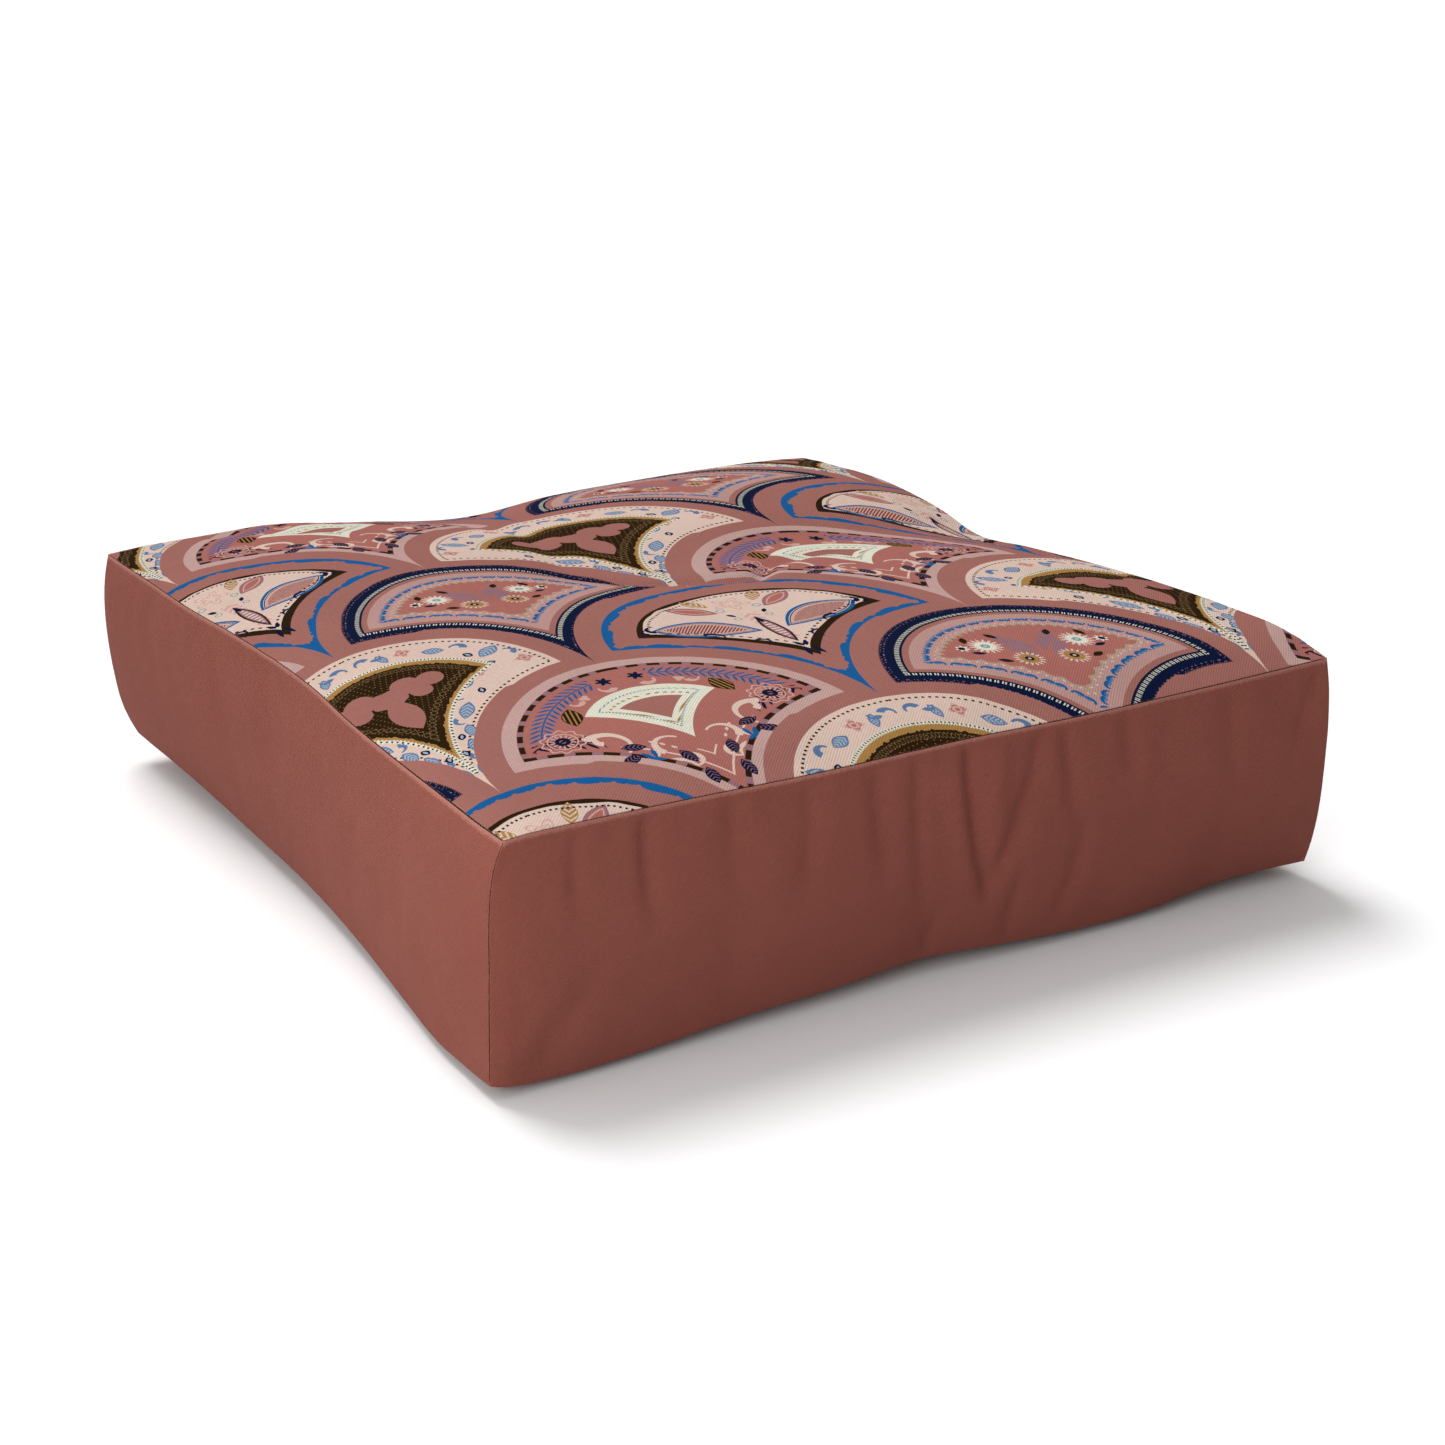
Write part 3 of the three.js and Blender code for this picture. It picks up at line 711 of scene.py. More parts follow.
class Num:
    """A number at each point of a surface. Arithmetic on it adds Math nodes to its tree."""

    def __init__(self, tree, socket):
        self.tree, self.socket = tree, socket

    def __add__(self, other):
        return math_node("ADD", self, other)

    def __sub__(self, other):
        return math_node("SUBTRACT", self, other)

    def __rsub__(self, other):
        return math_node("SUBTRACT", other, self)

    def __mul__(self, other):
        return math_node("MULTIPLY", self, other)

    def __truediv__(self, other):
        return math_node("DIVIDE", self, other)

    __radd__, __rmul__ = __add__, __mul__


def math_node(operation, *values, clamp=False):
    tree = next(v.tree for v in values if isinstance(v, Num))
    node = tree.nodes.new("ShaderNodeMath")
    node.operation, node.use_clamp = operation, clamp
    for socket, value in zip(node.inputs, values):
        if isinstance(value, Num):
            tree.links.new(value.socket, socket)
        else:
            socket.default_value = value
    return Num(tree, node.outputs[0])


def linear(value, gain, offset, clamp=False):
    """value times gain plus offset, each a Num or a plain number."""
    return math_node("MULTIPLY_ADD", value, gain, offset, clamp=clamp)


def size(value):
    return math_node("ABSOLUTE", value)


def least(first, *rest):
    for value in rest:
        first = math_node("MINIMUM", first, value)
    return first


def most(first, *rest):
    for value in rest:
        first = math_node("MAXIMUM", first, value)
    return first


def choose(test, yes, no):
    """yes where test is 1 and no where it is 0."""
    return linear(test, yes - no, no)


def length(x, y):
    return math_node("SQRT", linear(x, x, y * y))


def wave(value, pitch, shift=0.0):
    return math_node("SINE", linear(value, 2 * math.pi / pitch, shift))


def new_group(name, inputs):
    """A node group that turns numbers into a colour, and its inputs."""
    tree = bpy.data.node_groups.new(name, "ShaderNodeTree")
    for socket in inputs:
        tree.interface.new_socket(name=socket, in_out="INPUT", socket_type="NodeSocketFloat")
    tree.interface.new_socket(name="Color", in_out="OUTPUT", socket_type="NodeSocketColor")
    given = tree.nodes.new("NodeGroupInput")
    return tree, [Num(tree, given.outputs[i]) for i in range(len(inputs))]


def close_group(tree, socket):
    tree.links.new(socket, tree.nodes.new("NodeGroupOutput").inputs[0])
    return tree


def call_group(group, *values):
    tree = values[0].tree
    node = tree.nodes.new("ShaderNodeGroup")
    node.node_tree = group
    for socket, value in zip(node.inputs, values):
        tree.links.new(value.socket, socket)
    return node.outputs[0]


def set_color(tree, socket, color):
    if isinstance(color, tuple):
        socket.default_value = color
    else:
        tree.links.new(color, socket)


def mix_color(amount, under, over):
    """A mix of two colours, each a plain one or a socket."""
    tree = amount.tree
    node = tree.nodes.new("ShaderNodeMix")
    node.data_type = "RGBA"
    tree.links.new(amount.socket, node.inputs[0])
    set_color(tree, node.inputs[6], under)
    set_color(tree, node.inputs[7], over)
    return node.outputs[2]


def tint(color, amount):
    """A colour made lighter or darker by a number around 1."""
    tree = amount.tree
    node = tree.nodes.new("ShaderNodeMix")
    node.data_type, node.blend_type = "RGBA", "MULTIPLY"
    node.inputs[0].default_value = 1.0
    set_color(tree, node.inputs[6], color)
    tree.links.new(amount.socket, node.inputs[7])
    return node.outputs[2]


# ---- The printed pattern: rows of overlapping fans in four designs ----
# Lengths inside a fan are in units of the fans' spacing radius. A fan is its own mirror image, so
# its motifs are drawn for x >= 0 only. y points at the fan's arc, and its needle tip at -y. s is
# the way along the fan's edge, and d the depth inside it.

ROW = 0.86  # from one row to the next
# Where a point of the top lies in the print, from its x and y as shares of the half width. The
# cloth was cut a little askew and pulled tight over the filling: (constant, x, y, xx, xy, yy).
PRINT_ACROSS = (1.02, 2.20, 0.02, -0.02, -0.08, 0.12)
PRINT_UP = (1.77, 0.19, 2.27, 0.31, -0.06, 0.13)
FAN = HALF / PRINT_ACROSS[1]  # half the distance between two fans of a row, in metres
BODY = (0.87, 1.03, -0.90, 1.03)  # the arc's radius, then the side circle's x, y and radius
INK_EDGE = 0.45 * MM / FAN  # width of the soft edge of an ink

GROUND = srgb(148, 97, 89)
BAND_PINK = srgb(179, 146, 140)
FIELD_PINK = srgb(172, 134, 128)
CREAM = srgb(203, 178, 165)
PALE = srgb(206, 203, 186)
ROSE = srgb(158, 98, 90)
SOFT_ROSE = srgb(192, 150, 141)
NAVY = srgb(6, 19, 49)
BLUE = srgb(20, 84, 138)
STEEL = srgb(84, 110, 145)
MIST = srgb(150, 160, 172)
BROWN = srgb(38, 24, 7)
TAN = srgb(156, 117, 66)
MAROON = srgb(112, 52, 42)
MAUVE = srgb(138, 100, 108)
TEAL = srgb(104, 143, 150)
STONE = srgb(160, 140, 120)
UMBER = srgb(116, 92, 62)

# A shape is a number over 0 inside it. The functions below return shapes.


def within(value, reach):
    """Where a number is nearer to 0 than reach."""
    return linear(size(value), -1.0, reach)


def dashes(value, pitch, offset=0.0, slope=0.006):
    """Stripes across a number, wider with a larger offset."""
    return linear(wave(value, pitch), slope, offset)


def rotated(x, y, at, degrees, wide=1.0, high=1.0):
    """x and y measured from a place, turned, in units of wide and high."""
    c, s = math.cos(math.radians(degrees)), math.sin(math.radians(degrees))
    along = linear(x, c / wide, -(at[0] * c + at[1] * s) / wide)
    across = linear(x, -s / high, (at[0] * s - at[1] * c) / high)
    return linear(y, s / wide, along), linear(y, c / high, across)


def leaf(x, y, at, degrees, long, wide):
    """A pointed leaf, and how far along and across it a point is."""
    a, b = rotated(x, y, at, degrees, long / 2, wide / 2)
    return linear(linear(a, a, size(b)), -wide / 2, wide / 2), a, b


def leaves(x, y, long, wide, *places):
    """Leaves of one size, each at (x, y, degrees)."""
    return [leaf(x, y, place[:2], place[2], long, wide)[0] for place in places]


def disc(x, y, at, radius):
    a, b = x - at[0], y - at[1]
    return linear(linear(a, a, b * b), -0.5 / radius, radius / 2)


def blossom(x, y, at, radius, petals, depth, turn=0.0):
    """A round flower with petals, and the distance from its middle."""
    a, b = x - at[0], y - at[1]
    far = length(a, b)
    lobes = math_node("COSINE", linear(math_node("ARCTAN2", b, a), petals, turn))
    return linear(lobes, depth * radius / 2, radius * (1 - depth / 2)) - far, far


def comma(x, y, at, degrees, radius, thick):
    """Half a ring, thick at one end and fine at the other."""
    a, b = rotated(x, y, at, degrees)
    off = size(length(a, b) - radius)
    return least(linear(a, thick / (2 * radius), thick) - off, b)


def commas(x, y, *rows):
    """Commas, each at (x, y, degrees) with its radius and thickness."""
    return [comma(x, y, row[:2], *row[2:]) for row in rows]


def fan_shape(x, y, arc, side_x, side_y, side):
    """How deep a point is inside a fan: below its arc, and beyond its hollow side."""
    return arc - length(x, y), length(x - side_x, y - side_y) - side


def scallops(s, depth, pitch, high):
    """The edge of a row of round lobes along s: over 0 where depth is past the edge."""
    return linear(size(wave(s, 2 * pitch)), high, depth)


def blot(x, y, scale, shift=0.0):
    """A slow wobble between about -1 and 1, for edges that look brushed."""
    first = wave(x, scale, shift)
    second = math_node("SINE", linear(y, 7.3 / scale, 2.1) + first * 1.7)
    return (first + second) * 0.5


class Inks:
    """Inks laid one over another, in a node group."""

    def __init__(self, ground):
        self.color = ground

    def lay(self, ink, *shapes):
        cover = linear(most(*shapes), 1 / INK_EDGE, 0.5, clamp=True)
        self.color = mix_color(cover, self.color, ink)


def draw_cream_fan(inks, x, y, s, d):
    """Cream, with ticks round its edge, leaves and flowers, and a brown lace heart."""
    inks.lay(CREAM, d)
    inks.lay(BROWN, least(within(d - 0.037, 0.0065), dashes(s, 0.034, -0.001)))
    for at, turn, long, wide in (
        ((0.16, 0.70), 100, 0.11, 0.05), ((0.62, 0.42), 35, 0.15, 0.085),
        ((0.36, 0.16), 30, 0.15, 0.08), ((0.245, -0.09), 55, 0.17, 0.075),
        ((0.11, -0.40), 75, 0.13, 0.05), ((0.40, 0.60), 150, 0.12, 0.07),
        ((0.165, -0.27), 75, 0.12, 0.06), ((0.035, -0.62), 80, 0.11, 0.026),
    ):
        body, a, b = leaf(x, y, at, turn, long, wide)
        inks.lay(MIST, body)
        veins = dashes(size(b) * 0.5 + a, 0.36, -0.001)
        inks.lay(STEEL, least(body, veins), within(body - 0.003, 0.004))
    for at, radius in (((0.27, 0.69), 0.05), ((0.735, 0.25), 0.052), ((0.475, 0.235), 0.05)):
        petals, far = blossom(x, y, at, radius, 4, 0.45)
        inks.lay(SOFT_ROSE, petals)
        inks.lay(ROSE, 0.011 - far, least(petals, within(far - 0.03, 0.004)))
    inks.lay(STEEL, *commas(
        x, y, (0.06, 0.735, 20, 0.034, 0.012), (0.145, 0.74, 200, 0.026, 0.010),
        (0.51, 0.56, 320, 0.035, 0.013), (0.70, 0.37, 290, 0.032, 0.011),
        (0.28, 0.055, 110, 0.03, 0.011), (0.17, -0.17, 100, 0.028, 0.010),
        (0.075, -0.50, 100, 0.022, 0.009),
    ))
    buds = leaves(
        x, y, 0.065, 0.042, (0.52, 0.44, 120), (0.57, 0.29, 10), (0.40, 0.05, 80),
        (0.305, 0.145, 60), (0.10, -0.30, 70), (0.045, -0.45, 95),
    )
    inks.lay(NAVY, *buds)
    inks.lay(MIST, *[bud - 0.013 for bud in buds])

    below, beyond = fan_shape(x, y, 0.62, 1.0, -0.62, 1.006)
    heart = least(below, beyond)
    fringe = heart + wave(s, 0.018) * 0.004
    inks.lay(PALE, fringe + 0.022)
    inks.lay(BROWN, least(within(heart + 0.013, 0.006), dashes(s, 0.026, -0.002)))
    inks.lay(TAN, fringe)
    lace = least(below - 0.04, beyond - 0.02) + blot(x, y, 0.05) * 0.006
    inks.lay(BROWN, lace)
    loops = size(wave(s, 0.06)) * 0.017 - size(heart - 0.075)
    inks.lay(UMBER, least(lace - 0.012, within(loops, 0.0022)))
    specks = wave(x + y * 0.6, 0.047) * wave(y - x * 0.4, 0.041)
    inks.lay(TAN, least(lace - 0.02, linear(specks, 0.012, -0.011)))
    inks.lay(
        GROUND,
        blossom(x, y, (0.0, 0.27), 0.10, 5, 0.16, 1.2)[0],
        disc(x, y, (0.13, 0.34), 0.085),
        disc(x, y, (0.26, 0.335), 0.07),
        disc(x, y, (0.17, 0.25), 0.06),
        leaf(x, y, (0.0, 0.08), 90, 0.36, 0.16)[0],
    )


def draw_navy_fan(inks, x, y, s, d):
    """A broad navy outline with pale dashes, a pink field of commas and a bed of daisies."""
    bristle = d + wave(s, 0.013) * 0.0035
    inks.lay(NAVY, least(bristle, 0.104 - d))
    worn = wave(s + blot(x, y, 0.09) * 0.03, 0.043) * wave(d, 0.03)
    inks.lay(MAUVE, least(d - 0.006, 0.03 - d, linear(worn, 0.012, -0.009)))
    pairs = within(size(wave(s, 0.062) * 0.02) - 0.011, 0.005)
    inks.lay(PALE, least(pairs, within(d - 0.081, 0.011)))
    inks.lay(FIELD_PINK, d - 0.135)
    step = math_node("PINGPONG", s, 0.055) - 0.0275
    inks.lay(BLUE, comma(step, d - 0.20, (0.0, 0.0), 20, 0.018, 0.0085))
    inks.lay(STEEL, comma(step, d - 0.205, (0.016, 0.012), 200, 0.014, 0.005))
    lobed = scallops(s, d - 0.285, 0.07, 0.022)
    inks.lay(STONE, lobed)
    inks.lay(ROSE, lobed - 0.014)
    inks.lay(CREAM, least(within(lobed + 0.012, 0.0055), dashes(s, 0.03, -0.003)))
    inks.lay(MAUVE, *leaves(
        x, y, 0.19, 0.062, (0.055, 0.36, 65), (0.10, 0.30, 50), (0.12, 0.42, 75)
    ))
    inks.lay(BROWN, *leaves(
        x, y, 0.075, 0.036, (0.145, 0.475, 60), (0.30, 0.45, 110), (0.235, 0.20, 30)
    ))
    for at, radius, petals, heart in (
        ((0.235, 0.37), 0.082, PALE, TEAL), ((0.115, 0.20), 0.075, TAN, NAVY),
    ):
        flower, far = blossom(x, y, at, radius, 16, 0.42)
        inks.lay(petals, flower)
        inks.lay(CREAM, least(flower, far - 0.048))
        inks.lay(heart, 0.022 - far)
        inks.lay(CREAM, 0.008 - far)
    inks.lay(PALE, blossom(x, y, (0.355, 0.365), 0.036, 7, 0.5)[0])
    inks.lay(NAVY, disc(x, y, (0.36, 0.365), 0.017), *leaves(x, y, 0.07, 0.03, (0.31, 0.30, 20)))


def draw_blue_line_fan(inks, x, y, s, d):
    """A brushed blue outline, a plain band, and a cream heart with curved wings."""
    brush = blot(s, s, 0.31) * 0.017 + blot(s, d, 0.06) * 0.006
    inks.lay(BLUE, least(d - 0.004, 0.046 - d + brush))
    below, beyond = fan_shape(x, y, 0.695, 1.0, -0.86, 1.13)
    inks.lay(BROWN, least(below, beyond))
    inside = least(below - 0.024, beyond - 0.042) + blot(s, s, 0.62, 1.0) * 0.010
    inks.lay(CREAM, inside)
    wing, a, b = leaf(x, y + x * x * 0.55, (0.31, 0.26), 38, 0.62, 0.20)
    inks.lay(BLUE, wing)
    inks.lay(CREAM, wing - 0.017)
    inks.lay(NAVY, least(wing - 0.02, within(wing - 0.024, 0.003)))
    inks.lay(SOFT_ROSE, wing - 0.03)
    inks.lay(MAROON, least(wing - 0.042, dashes(a * 0.3 + b * 0.02, 0.018)))
    hook = leaf(x, y - x * 0.3, (0.235, 0.405), 25, 0.24, 0.13)[0]
    inks.lay(MAUVE, hook)
    inks.lay(ROSE, hook - 0.014)
    inks.lay(SOFT_ROSE, within(hook - 0.03, 0.005))
    gold, a, b = leaf(x, y, (0.165, 0.575), 62, 0.17, 0.075)
    inks.lay(TAN, gold)
    inks.lay(CREAM, least(gold - 0.004, dashes(a - size(b) * 0.5, 0.4, -0.0015, 0.004)))
    for radius in (0.095, 0.055):
        petals = blossom(x, y, (0.0, 0.50), radius, 5, 0.55, 0.5 * math.pi)[0]
        inks.lay(SOFT_ROSE, within(petals, 0.0065))
    inks.lay(SOFT_ROSE, least(0.042 - x, 0.33 - y, y + 0.1, dashes(y + x * 0.8, 0.05, 0.001, 0.01)))
    drop, a, b = leaf(x, y, (0.0, 0.06), 90, 0.40, 0.085)
    inks.lay(BROWN, drop)
    inks.lay(MAUVE, drop - 0.012)
    inks.lay(CREAM, least(drop - 0.02, dashes(a, 0.16, 0.001)))
    inks.lay(NAVY, *[
        leaf(x, y, at, turn, long, 0.026)[0]
        for at, turn, long in (
            ((0.0, 0.22), 90, 0.1), ((0.028, -0.27), 100, 0.11), ((0.018, -0.17), 70, 0.07),
            ((0.09, 0.33), 60, 0.06),
        )
    ])
    inks.lay(NAVY, *commas(
        x, y, (0.53, 0.30, 285, 0.040, 0.010), (0.575, 0.275, 285, 0.030, 0.008),
        (0.33, 0.075, 60, 0.055, 0.007), (0.16, -0.08, 80, 0.045, 0.006),
    ))
    inks.lay(NAVY, least(within(inside - 0.026, 0.0065), dashes(s, 0.035, -0.001, 0.008)))
    inks.lay(TEAL, within(disc(x, y, (0.10, 0.42), 0.020), 0.0035),
             within(disc(x, y, (0.085, 0.27), 0.018), 0.003))


def draw_vine_fan(inks, x, y, s, d):
    """A pink rim, a dashed line, vines along the arc, and a pale crescent over scrolls."""
    inks.lay(BAND_PINK, least(d, 0.07 - d))
    line = least(d - 0.072, 0.099 - d)
    inks.lay(MAUVE, line)
    inks.lay(BROWN, least(line, dashes(s, 0.115, 0.006, 0.02)))
    inks.lay(ROSE, d - 0.101)

    out = size(d - 0.185)
    twigs = math_node("PINGPONG", s - out * 0.9, 0.025)
    curve = linear(out, 1 / 0.030, -1.0)
    vine = most(linear(curve * curve, -0.012, 0.012) - twigs, 0.0045 - out)
    inks.lay(BLUE, least(vine, y - 0.30, x - 0.15))
    inks.lay(NAVY, least(vine, 0.27 - y, y, x - 0.4))
    inks.lay(NAVY, blossom(x, y, (0.085, 0.665), 0.043, 6, 0.45)[0])
    inks.lay(SOFT_ROSE, blossom(x, y, (0.25, 0.55), 0.03, 3, 0.4)[0], *commas(
        x, y, (0.11, 0.60, 200, 0.035, 0.012), (0.31, 0.53, 180, 0.03, 0.01)
    ))

    tulip, a, b = leaf(x, y, (0.395, 0.41), 105, 0.17, 0.10)
    inks.lay(BROWN, tulip)
    inks.lay(TAN, least(tulip - 0.006, dashes(b, 0.45, -0.002, 0.004)))
    petals, far = blossom(x, y, (0.545, 0.235), 0.105, 10, 0.16)
    around = math_node("ARCTAN2", y - 0.235, x - 0.545)
    spokes = least(within(far - 0.045, 0.016), dashes(around, 0.45, -0.002))
    inks.lay(SOFT_ROSE, within(petals, 0.0045), within(far - 0.07, 0.004), spokes)
    inks.lay(NAVY, within(far - 0.026, 0.0105))

    below, beyond = fan_shape(x, y - 0.11, 0.44, 0.74, -0.42, 0.80)
    moon = least(below, beyond)
    hole = least(below - 0.125, beyond - 0.095)
    inks.lay(PALE, moon)
    inks.lay(GROUND, hole)
    inks.lay(TEAL, least(within(moon - 0.05, 0.005), dashes(x + y * 0.7, 0.019, 0.0015)))
    inks.lay(TAN, least(within(hole + 0.032, 0.007), dashes(x * 0.8 - y, 0.04, -0.001, 0.008)))

    scrolls = most(
        *commas(
            x, y, (0.40, 0.09, 60, 0.110, 0.014), (0.375, 0.16, 300, 0.045, 0.012),
            (0.30, -0.02, 200, 0.075, 0.012), (0.60, 0.06, 250, 0.065, 0.011),
            (0.20, -0.22, 30, 0.080, 0.012), (0.245, -0.165, 215, 0.034, 0.011),
            (0.135, -0.02, 320, 0.075, 0.012), (0.115, -0.17, 120, 0.045, 0.010),
            (0.50, -0.03, 15, 0.060, 0.010),
        ),
        least(within(d - 0.150, 0.0055), 0.06 - y),
        least(within(d - 0.235, 0.0045), -0.10 - y),
    )
    inks.lay(CREAM, least(scrolls, d - 0.105))
    inks.lay(CREAM, *leaves(
        x, y, 0.035, 0.016, (0.17, 0.0, 60), (0.205, 0.035, 60), (0.135, -0.045, 60),
        (0.21, -0.03, 60), (0.33, -0.23, 80), (0.29, -0.28, 75), (0.40, -0.08, 60),
    ))
    inks.lay(BLUE, *leaves(
        x, y, 0.085, 0.024, (0.245, -0.055, 100), (0.28, -0.065, 65), (0.255, -0.10, 30)
    ))
    for at, turn in (
        ((0.115, -0.135), 75), ((0.095, -0.30), 95), ((0.185, -0.335), 60), ((0.145, -0.45), 75),
        ((0.30, 0.03), 20), ((0.36, -0.06), 340),
    ):
        blade, a, b = leaf(x, y, at, turn, 0.12, 0.062)
        inks.lay(NAVY, blade)
        inks.lay(MAUVE, least(blade - 0.006, dashes(a + size(b) * 0.4, 0.35, -0.003, 0.004)))


def warped(x, y, pull):
    flat, by_x, by_y, by_xx, by_xy, by_yy = pull
    slope = linear(x, by_xx, by_x) + y * by_xy
    return linear(slope, x, linear(y, by_yy, by_y) * y) + flat


def fan_of(x, y, row):
    """x and y measured from the nearest fan's middle in a row, that row, and the fan's column."""
    odd = math_node("FLOORED_MODULO", row, 2.0)
    column = math_node("ROUND", (x - odd) * 0.5)
    return x - odd - column * 2.0, linear(row, -ROW, y), row, column


def print_color(x, y):
    """The print's colour at fabric place x, y in metres."""
    x, y = (warped(x / HALF, y / HALF, pull) for pull in (PRINT_ACROSS, PRINT_UP))
    first_row = math_node("CEIL", linear(y, 1 / ROW, -BODY[0] / ROW - 1e-4))
    top_fan = fan_of(x, y, first_row + 2.0)
    for step in (1.0, 0.0):  # a lower row's round fan lies over the rows above it
        fan = fan_of(x, y, first_row + step)
        inside = math_node("LESS_THAN", length(*fan[:2]), 1.0)
        top_fan = tuple(choose(inside, yes, no) for yes, no in zip(fan, top_fan))
    local_x, local_y, row, column = top_fan
    side = size(local_x)
    below, beyond = fan_shape(side, local_y, *BODY)
    near_arc = math_node("LESS_THAN", below, beyond)
    round_arc = math_node("ARCTAN2", side, local_y)
    round_side = math_node("ARCTAN2", BODY[1] - side, local_y - BODY[2])
    s = choose(near_arc, round_arc * BODY[0], round_side * BODY[3])
    at = (side, local_y, s, least(below, beyond))

    colors = []
    for name, draw in (
        ("vine", draw_vine_fan), ("navy", draw_navy_fan),
        ("blue_line", draw_blue_line_fan), ("cream", draw_cream_fan),
    ):
        group, places = new_group(f"print_{name}_fan", ("x", "y", "s", "d"))
        inks = Inks(GROUND)
        draw(inks, *places)
        colors.append(call_group(close_group(group, inks.color), *at))
    odd_row = math_node("FLOORED_MODULO", row, 2.0)
    turn_even = math_node("FLOORED_MODULO", row * 0.5 + column, 2.0)
    turn_odd = math_node("FLOORED_MODULO", (row - 1.0) * 0.5 + column, 2.0)
    even, odd = mix_color(turn_even, *colors[:2]), mix_color(turn_odd, *colors[2:])
    return mix_color(odd_row, even, odd)


# ---- Materials ----


def new_material(name, **settings):
    """A material, with its shader's sockets set, and its tree."""
    material = bpy.data.materials.new(name)
    material.use_nodes = True
    shader = material.node_tree.nodes["Principled BSDF"]
    for socket, value in settings.items():
        shader.inputs[socket.replace("_", " ").title().replace("Ior", "IOR")].default_value = value
    return material, material.node_tree


def split_place(tree, place):
    """x, y and z of a socket's vector, and the socket itself."""
    split = tree.nodes.new("ShaderNodeSeparateXYZ")
    tree.links.new(place, split.inputs[0])
    return *[Num(tree, output) for output in split.outputs], Num(tree, place)


def fabric_place(tree):
    """The place on the flat cloth in metres, the distance from its nearest seam, and all three."""
    attribute = tree.nodes.new("ShaderNodeAttribute")
    attribute.attribute_name = "fabric"
    return split_place(tree, attribute.outputs["Vector"])


def object_place(tree):
    """x, y and z in metres, and all three."""
    return split_place(tree, tree.nodes.new("ShaderNodeTexCoord").outputs["Object"])


def noise(place, pitch, detail=2.0, stretch=(1, 1, 1)):
    """A cloudy number from about 0.3 to 0.7 that changes over one pitch."""
    tree = place.tree
    mapping = tree.nodes.new("ShaderNodeMapping")
    mapping.inputs["Scale"].default_value = [s / pitch for s in stretch]
    tree.links.new(place.socket, mapping.inputs["Vector"])
    node = tree.nodes.new("ShaderNodeTexNoise")
    node.inputs["Scale"].default_value = 1.0
    node.inputs["Detail"].default_value = detail
    tree.links.new(mapping.outputs[0], node.inputs["Vector"])
    return Num(tree, node.outputs[0])


def finish_material(material, color, height, distance, roughness):
    tree = material.node_tree
    shader = tree.nodes["Principled BSDF"]
    bump = tree.nodes.new("ShaderNodeBump")
    bump.inputs["Strength"].default_value = 1.0
    bump.inputs["Distance"].default_value = distance
    tree.links.new(height.socket, bump.inputs["Height"])
    tree.links.new(bump.outputs[0], shader.inputs["Normal"])
    tree.links.new(color, shader.inputs["Base Color"])
    tree.links.new(roughness.socket, shader.inputs["Roughness"])
    return material


TWILL = 2.0 * MM  # from one diagonal rib to the next
PLAIN = (0.198, 0.059, 0.0435, 1)
PRINT_DEPTH = 0.78  # the printed colours as seen through the cloth's own shadowed ribs
# A paler colour for the seams: a painted highlight where the rolled seam lips catch the light, and partly
# edge wear.
SEAM_HIGHLIGHT_AND_WEAR = srgb(196, 140, 126)


def twill_material(name, print_on):
    material, tree = new_material(
        name, specular_ior_level=0.012 if print_on else 0.08, sheen_roughness=0.6,
        sheen_weight=0.005 if print_on else 0.03, sheen_tint=(0.8, 0.5, 0.42, 1),
    )
    x, y, to_seam, place = fabric_place(tree)
    across = linear(x - y, math.sqrt(0.5), 0.0)
    along = linear(x + y, math.sqrt(0.5), 0.0)
    slub = noise(place, 3.5 * MM, 3.0, (1.0, 0.4, 1.0))
    rib = wave(across, TWILL)
    yarn = wave(along + rib * (0.12 * MM), TWILL * 0.55)
    weave = linear(rib, 0.36, 0.0) + yarn * 0.16 + slub * 0.9
    cloudy = noise(place, 70 * MM, 3.0)
    fuzz = noise(place, 0.9 * MM)
    shade = linear(cloudy, 0.16, 0.76) + slub * 0.16 + rib * 0.045 + fuzz * 0.16
    color = tint(print_color(x, y), shade * PRINT_DEPTH) if print_on else tint(PLAIN, shade)
    # Painted highlight along each seam, partly edge wear: within about a millimetre of a seam, with a
    # noisy edge, the cloth is mixed towards a paler colour.
    seam_highlight_breakup = noise(place, 2.2 * MM)
    worn = linear(seam_highlight_breakup * (1.2 * MM) + (0.5 * MM) - to_seam, 1 / (0.8 * MM), 0.0, clamp=True)
    color = mix_color(worn * 0.3, color, SEAM_HIGHLIGHT_AND_WEAR)
    return finish_material(
        material, color, weave + fuzz * 0.5, 0.24 * MM, linear(fuzz, 0.16, 0.80)
    )


def tape_material():
    material, tree = new_material("zip_tape_look", specular_ior_level=0.25, sheen_weight=0.1)
    x, y, _, place = fabric_place(tree)
    chevron = math_node("PINGPONG", size(y), 1.6 * MM)
    weave = wave(x + chevron, 0.9 * MM)
    color = tint(srgb(118, 66, 56), linear(noise(place, 3 * MM), 0.3, 0.85) + weave * 0.06)
    return finish_material(material, color, weave, 0.12 * MM, linear(weave, 0.06, 0.82))


def coil_material():
    material, tree = new_material("zip_coil_look", specular_ior_level=0.5, coat_weight=0.1)
    place = object_place(tree)[3]
    dust = noise(place, 6 * MM, 3.0)
    scuff = noise(place, 0.6 * MM, 2.0, (4, 1, 1))
    color = tint(srgb(108, 58, 48), linear(dust, 0.5, 0.75))
    return finish_material(material, color, scuff, 0.02 * MM, linear(dust, 0.3, 0.30))


def metal_material():
    material, tree = new_material("zip_metal_look", metallic=1.0)
    place = object_place(tree)[3]
    tarnish = noise(place, 7 * MM, 4.0)
    scratches = noise(place, 0.7 * MM, 3.0, (0.12, 1, 1))
    pits = noise(place, 0.5 * MM)
    color = tint(srgb(188, 184, 178), linear(tarnish, 0.7, 0.6) + scratches * 0.12)
    roughness = linear(tarnish, 0.35, 0.14) + scratches * 0.18
    return finish_material(material, color, scratches + pits * 0.5, 0.03 * MM, roughness)


